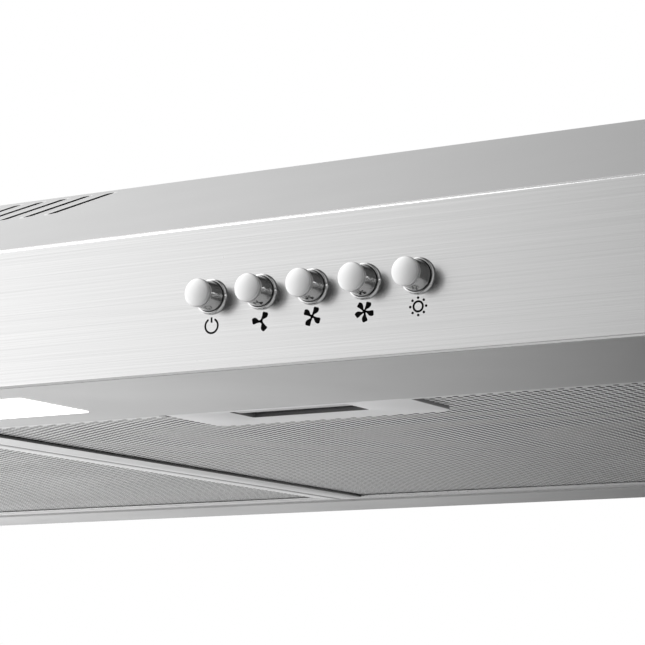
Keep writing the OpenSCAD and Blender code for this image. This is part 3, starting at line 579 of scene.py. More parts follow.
FINISH_NODES: tuple[tuple[Finish, tuple[str, ...]], ...] = (
    (SHELL, ("canopy_shell",)),
    (CANOPY, ("left_side_panel", "right_side_panel")),
    (FASCIA, ("front_fascia",)),
    (FRAME, ("underside_frame",)),
    (GALVANISED, ("filter_rail", "switch_bracket", "lamp_tray", "motor_bracket", "capacitor_clip",
                  "junction_box", "junction_cover", "frame_brackets", "duct_collar")),
    (ZINC, ("collar_screws", "frame_screws", "blower_screws", "inlet_grille")),
    (BLACK, ("switch_housing", "blower_scroll", "blower_cover", "fan_wheel", "carbon_cage")),
    (FOAM, ("carbon_pad",)),
    (WHITE, ("capacitor", "terminal_block", "led_driver")),
    (LENS, ("lamp_lens",)),
    (BOARD, ("led_board",)),
    (CAST, ("motor",)),
    (SHAFT, ("motor_shaft", "damper_rod")),
    (RUBBER, ("motor_bushes", "cable_gland", "collar_gasket")),
    (ALUMINIUM, ("front_damper_flap", "rear_damper_flap")),
    (WHITE, tuple(f"{name}_plunger" for name in BUTTON_NAMES)),
    (BUTTON, tuple(f"{name}_button" for name in BUTTON_NAMES)),
    (BEZEL, ("button_bezels",)),
    *((finish, tuple(f"{side.value}_{part}" for side in Side)) for finish, part in (
        (ALUMINIUM, "filter_frame"), (SCREEN, "filter_screen"), (MEDIA_PAINTED_DARK, "filter_media"),
        (BACKING, "filter_back"), (HANDLE, "filter_handle"), (LATCH, "latch"))),
)


# --- mesh helpers -------------------------------------------------------------------------


def new_piece(name: str, mesh: bpy.types.Mesh, finish: Finish, smooth: bool = False,
              angle: float = 35.0) -> bpy.types.Object:
    """Make an object for a mesh and give it its finish.

    Args:
        name: The piece's name.
        mesh: Its mesh, in place.
        finish: Its finish.
        smooth: Whether faces are shaded smooth up to the angle.
        angle: Sharpest angle that stays smooth, in degrees.

    Returns:
        The new object.
    """
    piece = bpy.data.objects.new(name, mesh)
    mesh.name = name
    bpy.context.scene.collection.objects.link(piece)
    mesh.materials.clear()
    mesh.materials.append(finish.material())
    if smooth:
        mesh.shade_smooth()
        mesh.set_sharp_from_angle(angle=math.radians(angle))
    return piece


def from_bmesh(name: str, form: bmesh.types.BMesh) -> bpy.types.Mesh:
    """Turn a bmesh into a mesh with outward normals and free it.

    Args:
        name: The mesh's name.
        form: The bmesh.

    Returns:
        The mesh.
    """
    bmesh.ops.recalc_face_normals(form, faces=form.faces)
    mesh = bpy.data.meshes.new(name)
    form.to_mesh(mesh)
    form.free()
    return mesh


def lathe(profile: Sequence[tuple[float, float]], place: Matrix, steps: int = 96) -> bmesh.types.BMesh:
    """Turn a profile round its axis and keep a UV map of turn and profile length.

    Args:
        profile: Points of radius and height; a radius of 0 closes an end.
        place: Where the turned form stands; its axis is local Z.
        steps: Number of segments round the axis.

    Returns:
        The turned form.
    """
    form = bmesh.new()
    layer = form.loops.layers.uv.new(LATHE_UV)
    lengths = [0.0]
    for (r0, z0), (r1, z1) in zip(profile, profile[1:]):
        lengths.append(lengths[-1] + math.hypot(r1 - r0, z1 - z0) / MM)
    rings = []
    for radius, height in profile:
        if radius == 0.0:
            rings.append([form.verts.new(place @ Vector((0.0, 0.0, height)))])
            continue
        angles = [2 * math.pi * i / steps for i in range(steps)]
        points = [Vector((radius * math.cos(a), radius * math.sin(a), height)) for a in angles]
        rings.append([form.verts.new(place @ point) for point in points])
    for k, (low, high) in enumerate(zip(rings, rings[1:])):
        for i in range(steps):
            j = (i + 1) % steps
            corners = [(low, i, k), (low, j, k), (high, j, k + 1), (high, i, k + 1)]
            unique: list = []
            places: list = []
            for ring, index, level in corners:
                vertex = ring[0] if len(ring) == 1 else ring[index]
                if vertex not in unique:
                    unique.append(vertex)
                    turn = i / steps if index == i else (i + 1) / steps
                    places.append((turn, lengths[level]))
            if len(unique) > 2:
                face = form.faces.new(unique)
                for loop, uv in zip(face.loops, places):
                    loop[layer].uv = uv
    return form


def bridge(form: bmesh.types.BMesh, rings: Sequence[Sequence[bmesh.types.BMVert]]) -> None:
    """Join each ring of vertices to the next one with a band of faces.

    Args:
        form: The form that holds the vertices.
        rings: The rings, all with the same number of vertices.
    """
    for first, second in zip(rings, rings[1:]):
        for i in range(len(first)):
            j = (i + 1) % len(first)
            form.faces.new((first[i], first[j], second[j], second[i]))


def softened(node: str, width: float, segments: int = 2, angle: float = 40.0) -> bpy.types.Mesh:
    """Copy a frame node's mesh, merge it and round its sharp edges.

    Args:
        node: The node's name.
        width: Width of the rounding, in metres.
        segments: Number of steps in the rounding.
        angle: Sharpest angle that isn't rounded, in degrees.

    Returns:
        The rounded copy.
    """
    form = bmesh.new()
    form.from_mesh(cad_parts[node].data)
    bmesh.ops.remove_doubles(form, verts=form.verts, dist=MERGE_DISTANCE / 2)
    bmesh.ops.dissolve_limit(form, angle_limit=math.radians(0.5), verts=form.verts, edges=form.edges)
    for face in form.faces:
        face.smooth = True
    copy = from_bmesh(f"{node}_copy", form)
    holder = bpy.data.objects.new(f"{node}_holder", copy)
    bpy.context.scene.collection.objects.link(holder)
    bevel = holder.modifiers.new("edges", "BEVEL")
    bevel.width = width
    bevel.segments = segments
    bevel.limit_method = "ANGLE"
    bevel.angle_limit = math.radians(angle)
    bevel.use_clamp_overlap = True
    weigh = holder.modifiers.new("shading", "WEIGHTED_NORMAL")
    weigh.mode = "FACE_AREA"
    weigh.weight = 100
    result = evaluated_mesh(holder)
    bpy.data.objects.remove(holder)
    return result


def evaluated_mesh(holder: bpy.types.Object) -> bpy.types.Mesh:
    """Return a plain mesh of an object with its modifiers applied."""
    bpy.context.view_layer.update()
    ready = holder.evaluated_get(bpy.context.evaluated_depsgraph_get())
    return bpy.data.meshes.new_from_object(ready)


# --- geometry node trees ------------------------------------------------------------------


@dataclass
class NodeTree:
    """A geometry node tree with named inputs, run on an empty mesh.

    Attributes:
        name: The tree's name.
        inputs: Names and socket types of its inputs.
        fill: Builds the tree from its graph and its input node, and returns its last socket.
    """

    name: str
    inputs: dict[str, str]
    fill: Callable[[Graph, bpy.types.Node], bpy.types.NodeSocket]

    def build(self) -> bpy.types.NodeTree:
        """Return the tree, made once."""
        known = bpy.data.node_groups.get(self.name)
        if known:
            return known
        tree = bpy.data.node_groups.new(self.name, "GeometryNodeTree")
        tree.interface.new_socket(name="Geometry", in_out="INPUT", socket_type="NodeSocketGeometry")
        for label, kind in self.inputs.items():
            tree.interface.new_socket(name=label, in_out="INPUT", socket_type=kind)
        tree.interface.new_socket(name="Geometry", in_out="OUTPUT", socket_type="NodeSocketGeometry")
        graph = Graph(tree)
        given = graph.add("NodeGroupInput")
        last = self.fill(graph, given)
        real = graph.add("GeometryNodeRealizeInstances", {"Geometry": last}).outputs[0]
        joined = graph.add("GeometryNodeMergeByDistance", {
            "Geometry": real, "Distance": MERGE_DISTANCE}).outputs[0]
        dressed = graph.add("GeometryNodeSetMaterial", {
            "Geometry": joined, "Material": given.outputs["Material"]}).outputs[0]
        graph.add("NodeGroupOutput", {"Geometry": dressed})
        return tree

    def run(self, values: dict[str, object]) -> bpy.types.Mesh:
        """Run the tree and return its result as a plain mesh.

        Args:
            values: A value for each named input.

        Returns:
            The mesh.
        """
        tree = self.build()
        holder = bpy.data.objects.new(f"{self.name}_holder", bpy.data.meshes.new(f"{self.name}_seed"))
        bpy.context.scene.collection.objects.link(holder)
        modifier = holder.modifiers.new(self.name, "NODES")
        modifier.node_group = tree
        for item in tree.interface.items_tree:
            if item.in_out == "INPUT" and item.name in values:
                modifier[item.identifier] = values[item.name]
        result = evaluated_mesh(holder)
        holder.modifiers.remove(modifier)
        bpy.data.objects.remove(holder)
        return result


def _fill_lattice(graph: Graph, given: bpy.types.Node) -> bpy.types.NodeSocket:
    """Lay tiles on a staggered grid and leave out those inside the cut-out."""
    want = given.outputs
    grid = graph.add("GeometryNodeMeshGrid", {
        "Size X": want["Width"], "Size Y": want["Length"],
        "Vertices X": want["Columns"], "Vertices Y": want["Rows"]}).outputs["Mesh"]
    parts = graph.add("ShaderNodeSeparateXYZ", {
        0: graph.add("GeometryNodeInputPosition").outputs[0]})
    half = graph.math("MULTIPLY", want["Width"], 0.5)
    column = graph.math("ROUND", graph.math("DIVIDE", graph.math(
        "ADD", parts.outputs["X"], half), want["Column step"]))
    odd = graph.math("FLOORED_MODULO", column, 2.0)
    shift = graph.add("ShaderNodeCombineXYZ", {
        1: graph.math("MULTIPLY", odd, graph.math("MULTIPLY", want["Pitch"], 0.5))})
    moved = graph.add("GeometryNodeSetPosition", {
        "Geometry": grid, "Offset": shift.outputs[0]}).outputs[0]
    placed = graph.add("GeometryNodeSetPosition", {
        "Geometry": moved, "Offset": want["Place"]}).outputs[0]
    spot = graph.add("ShaderNodeSeparateXYZ", {
        0: graph.add("GeometryNodeInputPosition").outputs[0]})
    away = graph.math("ABSOLUTE", graph.math("SUBTRACT", spot.outputs["X"], want["Cut centre"]))
    inside = graph.math("MULTIPLY", graph.math("LESS_THAN", away, want["Cut half width"]),
                        graph.math("LESS_THAN", spot.outputs["Y"], want["Cut back"]))
    kept = graph.add("GeometryNodeDeleteGeometry", {
        "Geometry": placed, "Selection": inside}, domain="POINT").outputs[0]
    tile = graph.add("GeometryNodeObjectInfo", {"Object": want["Tile"]}).outputs["Geometry"]
    return graph.add("GeometryNodeInstanceOnPoints", {
        "Points": kept, "Instance": tile}).outputs["Instances"]


def _fill_wheel(graph: Graph, given: bpy.types.Node) -> bpy.types.NodeSocket:
    """Set copies of a tile round a circle in the X-Z plane."""
    want = given.outputs
    ring = graph.add("GeometryNodeMeshCircle", {
        "Vertices": want["Count"], "Radius": want["Radius"]}, fill_type="NONE").outputs["Mesh"]
    index = graph.add("GeometryNodeInputIndex").outputs[0]
    angle = graph.math("MULTIPLY", graph.math("DIVIDE", index, want["Count"]), 2 * math.pi)
    turn = graph.add("ShaderNodeCombineXYZ", {2: angle})
    tile = graph.add("GeometryNodeObjectInfo", {"Object": want["Tile"]}).outputs["Geometry"]
    spread = graph.add("GeometryNodeInstanceOnPoints", {
        "Points": ring, "Instance": tile, "Rotation": turn.outputs[0]}).outputs["Instances"]
    return graph.add("GeometryNodeTransform", {
        "Geometry": spread, "Rotation": want["Turn"], "Translation": want["Place"]}).outputs[0]


def _fill_row(graph: Graph, given: bpy.types.Node) -> bpy.types.NodeSocket:
    """Set copies of a tile along a line parallel to X."""
    want = given.outputs
    step = graph.add("ShaderNodeCombineXYZ", {0: want["Pitch"]})
    line = graph.add("GeometryNodeMeshLine", {
        "Count": want["Count"], "Start Location": want["Start"], "Offset": step.outputs[0]},
        mode="OFFSET").outputs["Mesh"]
    tile = graph.add("GeometryNodeObjectInfo", {"Object": want["Tile"]}).outputs["Geometry"]
    return graph.add("GeometryNodeInstanceOnPoints", {
        "Points": line, "Instance": tile}).outputs["Instances"]


LATTICE = NodeTree("staggered_lattice", {
    "Width": "NodeSocketFloat", "Length": "NodeSocketFloat", "Columns": "NodeSocketInt",
    "Rows": "NodeSocketInt", "Pitch": "NodeSocketFloat", "Column step": "NodeSocketFloat",
    "Place": "NodeSocketVector", "Cut centre": "NodeSocketFloat",
    "Cut half width": "NodeSocketFloat", "Cut back": "NodeSocketFloat",
    "Tile": "NodeSocketObject", "Material": "NodeSocketMaterial"}, _fill_lattice)
WHEEL = NodeTree("copies_round_a_circle", {
    "Count": "NodeSocketInt", "Radius": "NodeSocketFloat", "Turn": "NodeSocketVector",
    "Place": "NodeSocketVector", "Tile": "NodeSocketObject",
    "Material": "NodeSocketMaterial"}, _fill_wheel)
ROW = NodeTree("copies_in_a_row", {
    "Count": "NodeSocketInt", "Pitch": "NodeSocketFloat", "Start": "NodeSocketVector",
    "Tile": "NodeSocketObject", "Material": "NodeSocketMaterial"}, _fill_row)


def hidden_tile(name: str, form: bmesh.types.BMesh) -> bpy.types.Object:
    """Make an unlinked object that a node tree copies."""
    return bpy.data.objects.new(name, from_bmesh(name, form))


# --- sub-assemblies -----------------------------------------------------------------------


@dataclass
class Buttons:
    """Five turned caps, their bezel rings and the printed icons below them.

    Attributes:
        names: The buttons' names, left to right.
        dome: Height of the domed front.
        shoulder: Radius of the disc's rounded edge.
        icon_drop: Distance from a button's axis down to its icon.
        ink: Thickness of the printed ink.
        icon_turn: Turn of the fan icons, in degrees.
        stroke: Width of the icons' lines.
        centres: Where each button's axis meets the front face.
        face_y: Place of the front face along Y.
    """

    names: tuple[str, ...] = BUTTON_NAMES
    dome: float = 0.6 * MM
    shoulder: float = 0.35 * MM
    icon_drop: float = 9.3 * MM
    ink: float = 0.03 * MM
    icon_turn: float = 30.0
    stroke: float = 0.64 * MM
    centres: list[Vector] = field(default_factory=list)
    face_y: float = 0.0

    def build(self) -> list[bpy.types.Object]:
        """Build every piece and return them."""
        self.face_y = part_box("front_fascia")[0].y
        for name in self.names:
            low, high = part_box(f"{name}_button")
            self.centres.append(Vector(((low.x + high.x) / 2, self.face_y, (low.z + high.z) / 2)))
        made = [self.bezels()]
        for name, centre in zip(self.names, self.centres):
            made.extend(self.cap(name, centre))
        made.extend(self.icons())
        return made

    def stand(self, centre: Vector) -> Matrix:
        """Return the place of a form turned round a button's axis, pointing forwards."""
        return Matrix.Translation(centre) @ Matrix.Rotation(math.radians(90), 4, "X")

    def cap(self, name: str, centre: Vector) -> list[bpy.types.Object]:
        """Turn one cap as a polished skirt and a satin disc.

        Args:
            name: The button's name.
            centre: Where its axis meets the front face.

        Returns:
            The skirt and the disc.
        """
        low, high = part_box(f"{name}_button")
        foot = (high.x - low.x) / 2
        front, back = self.face_y - low.y, self.face_y - high.y
        disc = foot - 0.2 * MM
        groove = front - 2.5 * MM
        rim = front - self.dome
        neck = disc - 0.62 * MM
        skirt = [(0.0, back), (foot - 0.3 * MM, back), (foot, back + 0.3 * MM),
                 (foot + 0.14 * MM, 0.4 * MM), (foot + 0.1 * MM, 1.6 * MM),
                 (disc - 0.28 * MM, groove - 0.25 * MM), (disc - 0.36 * MM, groove - 0.08 * MM),
                 (disc - 0.5 * MM, groove),
                 (neck, groove), (neck, groove + 0.3 * MM), (0.0, groove + 0.3 * MM)]
        face = [(0.0, groove + 0.31 * MM), (disc - 0.35 * MM, groove + 0.31 * MM),
                (disc - 0.1 * MM, groove + 0.4 * MM), (disc, groove + 0.6 * MM), (disc, rim - 0.2 * MM)]
        steps = 8
        for step in range(1, steps + 1):
            a = math.radians(72 * step / steps)
            face.append((disc - self.shoulder * (1 - math.cos(a)),
                         rim - 0.2 * MM + self.shoulder * math.sin(a)))
        edge_r, edge_z = face[-1]
        for step in range(1, steps + 1):
            share = step / steps
            face.append((edge_r * (1 - share), edge_z + (front - edge_z) * (1 - (1 - share) ** 2)))
        made = []
        for part, profile, finish in (("skirt", skirt, BUTTON), ("disc", face, DISC)):
            mesh = from_bmesh(f"{name}_{part}", lathe(profile, self.stand(centre)))
            piece = new_piece(f"{name}_{part}", mesh, finish, smooth=True, angle=50)
            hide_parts(f"{name}_button")
            made.append(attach(piece, f"{name}_push"))
        return made

    def bezels(self) -> bpy.types.Object:
        """Turn the five bezel rings as one piece."""
        low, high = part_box("button_bezels")
        outer = (high.z - low.z) / 2
        bore = outer - 0.75 * MM
        front = self.face_y - low.y
        sleeve = self.face_y - high.y
        neck = outer - 0.4 * MM
        profile = [(bore, sleeve), (neck, sleeve), (neck, 0.0), (outer, 0.0),
                   (outer, 0.45 * MM), (outer - 0.1 * MM, 0.65 * MM),
                   (outer - 0.35 * MM, front - 0.06 * MM), (outer - 0.5 * MM, front),
                   (bore + 0.08 * MM, front), (bore, front - 0.08 * MM), (bore, sleeve)]
        total = bmesh.new()
        for centre in self.centres:
            form = lathe(profile, self.stand(centre))
            bmesh.ops.remove_doubles(form, verts=form.verts, dist=1e-7)
            part = bpy.data.meshes.new("ring")
            form.to_mesh(part)
            form.free()
            total.from_mesh(part)
            bpy.data.meshes.remove(part)
        piece = new_piece("bezel_rings", from_bmesh("bezel_rings", total), BEZEL, smooth=True, angle=30)
        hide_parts("button_bezels")
        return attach(piece, "hood")

    def icons(self) -> list[bpy.types.Object]:
        """Print the five icons and return them."""
        drop = Vector((0.0, 0.0, -self.icon_drop))
        spots = [centre + drop for centre in self.centres]
        made = [self.printed("power_icon", [self.power_mark(spots[0])])]
        for name, blades, spot in zip(self.names[1:4], (3, 4, 5), spots[1:4]):
            made.append(self.printed(f"{name}_icon", [self.fan_mark(blades, spot)]))
        made.append(self.printed("light_icon", self.light_mark(spots[4])))
        return made

    def printed(self, name: str, meshes: list[bpy.types.Mesh]) -> bpy.types.Object:
        """Join meshes into one printed piece on the fascia.

        Args:
            name: The piece's name.
            meshes: Its parts.

        Returns:
            The printed piece.
        """
        form = bmesh.new()
        for mesh in meshes:
            form.from_mesh(mesh)
        piece = new_piece(name, from_bmesh(name, form), INK)
        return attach(piece, "hood")

    def slab(self, outline: Sequence[tuple[float, float]], spot: Vector) -> bpy.types.Mesh:
        """Make a thin printed slab from an outline in the X-Z plane.

        Args:
            outline: Points of X and Z round the spot.
            spot: Centre of the icon on the face.

        Returns:
            The slab's mesh.
        """
        form = bmesh.new()
        corners = [form.verts.new(spot + Vector((x, -self.ink, z))) for x, z in outline]
        face = form.faces.new(corners)
        made = bmesh.ops.extrude_face_region(form, geom=[face])["geom"]
        bmesh.ops.translate(form, vec=(0.0, self.ink, 0.0),
                            verts=[v for v in made if isinstance(v, bmesh.types.BMVert)])
        bmesh.ops.triangulate(form, faces=form.faces)
        return from_bmesh("slab", form)

    def arc_band(self, radius: float, width: float, start: float, end: float,
                 steps: int = 48) -> list[tuple[float, float]]:
        """Return the outline of an arc band with straight ends.

        Args:
            radius: Radius of its middle line.
            width: Its width.
            start: Angle of its start, in degrees from the top.
            end: Angle of its end.
            steps: Number of steps along it.

        Returns:
            Points of X and Z.
        """
        half = width / 2
        outline = []
        for r, span in ((radius + half, range(steps + 1)), (radius - half, range(steps, -1, -1))):
            for i in span:
                a = math.radians(start + (end - start) * i / steps)
                outline.append((r * math.sin(a), r * math.cos(a)))
        return outline

    @staticmethod
    def dot(radius: float, corners: int) -> list[tuple[float, float]]:
        """Return the outline of a dot with a number of corners."""
        turns = [math.radians(360 // corners * i) for i in range(corners)]
        return [(radius * math.cos(turn), radius * math.sin(turn)) for turn in turns]

    def stamp(self, name: str, outline: Sequence[tuple[float, float]]) -> bpy.types.Object:
        """Make a hidden slab, laid flat, for copies round a circle."""
        tile = bmesh.new()
        tile.from_mesh(self.slab(outline, Vector((0.0, 0.0, 0.0))))
        bmesh.ops.rotate(tile, matrix=Matrix.Rotation(math.radians(-90), 3, "X"), verts=tile.verts)
        return hidden_tile(name, tile)

    def power_mark(self, spot: Vector) -> bpy.types.Mesh:
        """Draw an open ring with a bar in its gap."""
        form = bmesh.new()
        form.from_mesh(self.slab(self.arc_band(2.32 * MM, self.stroke, 28, 332), spot))
        half, foot, head = self.stroke / 2, 1.0 * MM, 2.75 * MM
        bar = [(-half, foot), (half, foot), (half, head), (-half, head)]
        form.from_mesh(self.slab(bar, spot))
        return from_bmesh("power_mark", form)

    @staticmethod
    def rounded(outline: Sequence[tuple[float, float]]) -> list[tuple[float, float]]:
        """Cut an outline's corners once, to round it."""
        made = []
        for (x0, z0), (x1, z1) in zip(outline, [*outline[1:], outline[0]]):
            made += [(x0 * 0.75 + x1 * 0.25, z0 * 0.75 + z1 * 0.25),
                     (x0 * 0.25 + x1 * 0.75, z0 * 0.25 + z1 * 0.75)]
        return made

    def fan_mark(self, blades: int, spot: Vector) -> bpy.types.Mesh:
        """Draw a fan with swept paddles round a small hub.

        Args:
            blades: Number of blades.
            spot: Centre of the icon on the face.

        Returns:
            The icon's mesh.
        """
        wide = 1.12 - 0.07 * (blades - 3)
        outline = [(x * wide * MM, z * MM) for x, z in (
            (0.3, 0.1), (0.28, 0.8), (0.62, 1.25), (1.02, 1.75), (1.18, 2.4), (1.0, 3.1), (0.6, 3.4),
            (0.1, 3.2), (-0.35, 3.15), (-0.78, 2.95), (-0.72, 2.4), (-0.5, 1.8), (-0.4, 1.1),
            (-0.3, 0.1))]
        mark = WHEEL.run({
            "Count": blades, "Radius": 0.0001 * MM,
            "Turn": (math.radians(90), math.radians(self.icon_turn), 0.0),
            "Place": tuple(spot), "Tile": self.stamp("blade", self.rounded(outline)),
            "Material": INK.material()})
        form = bmesh.new()
        form.from_mesh(mark)
        form.from_mesh(self.slab(self.dot(0.6 * MM, 18), spot))
        return from_bmesh("fan_mark", form)

    def light_mark(self, spot: Vector) -> list[bpy.types.Mesh]:
        """Draw a ring with eight dots round it."""
        ring = self.slab(self.arc_band(1.55 * MM, self.stroke, 0.5, 359.5), spot)
        dots = WHEEL.run({
            "Count": 8, "Radius": 2.65 * MM, "Turn": (math.radians(90), 0.0, 0.0),
            "Place": tuple(spot), "Tile": self.stamp("dot", self.dot(0.42 * MM, 12)),
            "Material": INK.material()})
        return [ring, dots]


@dataclass
class GreaseFilter:
    """One filter: perforated screens, softened frame, handle and latch.

    Attributes:
        side: Which filter this is.
        pitch: Distance between neighbouring holes in a column.
        column_step: Distance between neighbouring columns.
        hole: Radius of a hole.
        corners: Number of sides of a hole.
        overlap: How far the screen reaches under the frame.
        strips: Number of pieces the screen is cut into.
        border: Width of the frame's sides and rear.
        front_border: Width of the frame's front.
        skin: Wall of the frame.
        heel: Radius of the frame's outer edge.
        drop: How much lower the outer edge of a border is than its inner edge.
        slot_width: Length of the finger slot.
        slot_depth: Depth of the finger slot, front to back.
        slot_inset: Distance from the handle's front edge to the slot.
        plate: Thickness of the handle's face.
        tuck: How far the screen reaches under the handle.
        seam: How far the swept channel stands out beyond the screen.
        tab_half: Half of a rear tab's length.
        tab_skin: Thickness of a rear tab.
    """

    side: Side
    pitch: float = 4.04 * MM
    column_step: float = 3.32 * MM
    hole: float = 1.2 * MM
    corners: int = 10
    overlap: float = 4.0 * MM
    strips: int = 3
    border: float = 12.0 * MM
    front_border: float = 8.0 * MM
    skin: float = 1.0 * MM
    heel: float = 0.95 * MM
    drop: float = 0.7 * MM
    slot_width: float = 48.6 * MM
    slot_depth: float = 18.0 * MM
    slot_inset: float = 8.3 * MM
    plate: float = 1.6 * MM
    tuck: float = 5.5 * MM
    seam: float = 1.2 * MM
    tab_half: float = 12.0 * MM
    tab_skin: float = 1.0 * MM

    @property
    def body(self) -> str:
        """Name of the moving body."""
        return f"{self.side.value}_filter"

    def node(self, part: str) -> str:
        """Return the name of one of this filter's frame nodes."""
        return f"{self.side.value}_{part}"

    def build(self) -> list[bpy.types.Object]:
        """Build every piece and return them."""
        made = self.screens()
        made.append(self.channel())
        made.append(self.handle())
        made.append(soft_copy(self.node("latch"), 0.3 * MM, LATCH,
                              f"{self.side.value}_catch"))
        return made

    def profile(self, zone: float, low: float, high: float) -> list[tuple[float, float, float]]:
        """Return the channel's cross section at one place round the frame.

        Args:
            zone: 1 where the border slopes, 0 where it is flat.
            low: Height of the inner edge's lower face.
            high: Height of the channel's top.

        Returns:
            Points as a share of the border, a fixed distance and a height.
        """
        outer = low - self.drop * zone
        points = [(0.0, 0.0, high)]
        for step in range(6):
            a = math.radians(18 * step)
            points.append((0.0, self.heel * (1 - math.cos(a)), outer + self.heel * (1 - math.sin(a))))
        lip = 0.3 * MM
        points += [(1.0, -lip, low), (1.0, -0.3 * lip, low + 0.3 * lip), (1.0, 0.0, low + lip),
                   (1.0, 0.0, low + self.skin), (0.0, self.skin, low + self.skin),
                   (0.0, self.skin, high - self.skin), (1.0, 0.0, high - self.skin), (1.0, 0.0, high)]
        return points

    def channel(self) -> bpy.types.Object:
        """Sweep the folded channel round the filter and add its rear tabs."""
        screen_low, screen_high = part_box(self.node("filter_screen"))
        handle_low, handle_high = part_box(self.node("filter_handle"))
        x0, x1 = screen_low.x - self.seam, screen_high.x + self.seam
        y0, y1 = screen_low.y - self.seam, screen_high.y + self.seam
        low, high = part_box(self.node("filter_frame"))[0].z, handle_high.z
        bend = y1 - self.border
        stations = [(handle_low.x, y0, 0, 1, 1.0), (x0, y0, 1, 1, 1.0), (x0, bend, 1, 0, 1.0),
                    (x0, y1, 1, -1, 0.0), (x1, y1, -1, -1, 0.0), (x1, bend, -1, 0, 1.0),
                    (x1, y0, -1, 1, 1.0), (handle_high.x, y0, 0, 1, 1.0)]
        form = bmesh.new()
        rings = []
        for x, y, way_x, way_y, zone in stations:
            depth = self.front_border if way_y > 0 else self.border
            rings.append([form.verts.new((x + way_x * (share * self.border + fixed),
                                          y + way_y * (share * depth + fixed), z))
                          for share, fixed, z in self.profile(zone, low, high)])
        bridge(form, rings)
        form.faces.new(rings[0])
        form.faces.new(rings[-1])
        for share in (-1, 1):
            self.tab(form, (x0 + x1) / 2 + share * (x1 - x0) / 3, y1, high)
        bmesh.ops.triangulate(form, faces=[face for face in form.faces if len(face.verts) > 4])
        name = f"{self.side.value}_channel"
        piece = new_piece(name, from_bmesh(name, form), ALUMINIUM, smooth=True, angle=30)
        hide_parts(self.node("filter_frame"))
        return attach(piece, self.body)

    def handle(self) -> bpy.types.Object:
        """Mould the handle plate: rounded face and walls, finger slot and the slot's lining."""
        low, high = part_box(self.node("filter_handle"))
        middle = (low.x + high.x) / 2
        half, turn, steps = (high.x - low.x) / 2, 5.0 * MM, 6
        slot_half, slot_front = self.slot_width / 2, low.y + self.slot_inset
        slot_back = slot_front + self.slot_depth
        hole_turn = 0.8 * MM

        def loop(inset: float, height: float) -> list[Vector]:
            """Return the plate's outline, drawn in by an inset, at a height."""
            r = max(turn - inset, 0.2 * MM)
            points = [Vector((middle + way * (half - inset), low.y + inset, height)) for way in (-1, 1)]
            for way, start in ((1, 0), (-1, 90)):
                for step in range(steps + 1):
                    a = math.radians(start + 90 * step / steps)
                    points.append(Vector((middle + way * (half - inset - r) + r * math.cos(a),
                                          high.y - inset - r + r * math.sin(a), height)))
            return points

        def gate(grow: float, height: float) -> list[Vector]:
            """Return the finger slot's outline, grown, at a height."""
            points = []
            for way_x, way_y, start in ((-1, -1, 180), (1, -1, 270), (1, 1, 0), (-1, 1, 90)):
                centre = Vector((middle + way_x * (slot_half - hole_turn),
                                 (slot_front if way_y < 0 else slot_back) - way_y * hole_turn, height))
                for step in range(4):
                    a = math.radians(start + 30 * step)
                    points.append(centre + Vector((math.cos(a), math.sin(a), 0)) * (hole_turn + grow))
            return points

        def wall(form: bmesh.types.BMesh, loops: list[list[Vector]]) -> list[list[bmesh.types.BMVert]]:
            """Join outlines to each other and return their vertices."""
            made = [[form.verts.new(point) for point in points] for points in loops]
            bridge(form, made)
            return made

        form = bmesh.new()
        soft, face, floor = 0.5 * MM, low.z, low.z + self.plate
        outer = wall(form, [loop(0.0, high.z), loop(0.0, face + soft), loop(0.15 * MM, face + 0.15 * MM),
                            loop(soft, face)])
        inner = wall(form, [gate(0.4 * MM, face), gate(0.1 * MM, face + 0.1 * MM),
                            gate(0.0, face + 0.4 * MM), gate(0.0, floor)])
        back = wall(form, [loop(self.skin, high.z), loop(self.skin, floor)])
        for ring_a, ring_b in ((outer[-1], inner[0]), (inner[-1], back[-1])):
            edges = [form.edges.get((ring[i], ring[(i + 1) % len(ring)]))
                     for ring in (ring_a, ring_b) for i in range(len(ring))]
            bmesh.ops.triangle_fill(form, edges=edges, use_beauty=True, use_dissolve=False)
        bridge(form, (outer[0], back[0]))
        name = f"{self.side.value}_handle_plate"
        piece = new_piece(name, from_bmesh(name, form), HANDLE, smooth=True, angle=40)
        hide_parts(self.node("filter_handle"))
        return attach(piece, self.body)

    def tab(self, form: bmesh.types.BMesh, middle: float, back: float, high: float) -> None:
        """Add one folded rear tab.

        Args:
            form: The form to add to.
            middle: The tab's middle along X.
            back: The filter's rear face.
            high: The channel's top.
        """
        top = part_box(self.node("filter_frame"))[1].z
        fold = top - self.tab_skin
        outline = [(-10.0, high - 0.02 * MM), (-4.0, high - 0.02 * MM), (-4.0, fold), (9.6, fold),
                   (10.0, fold + 0.4 * MM), (10.0, top - 0.3 * MM), (9.7, top), (-9.4, top),
                   (-10.0, top - 0.6 * MM)]
        ends = [[form.verts.new((middle + way * self.tab_half, back + y * MM, z)) for y, z in outline]
                for way in (-1, 1)]
        bridge(form, ends)
        form.faces.new(ends[0])
        form.faces.new(ends[1])

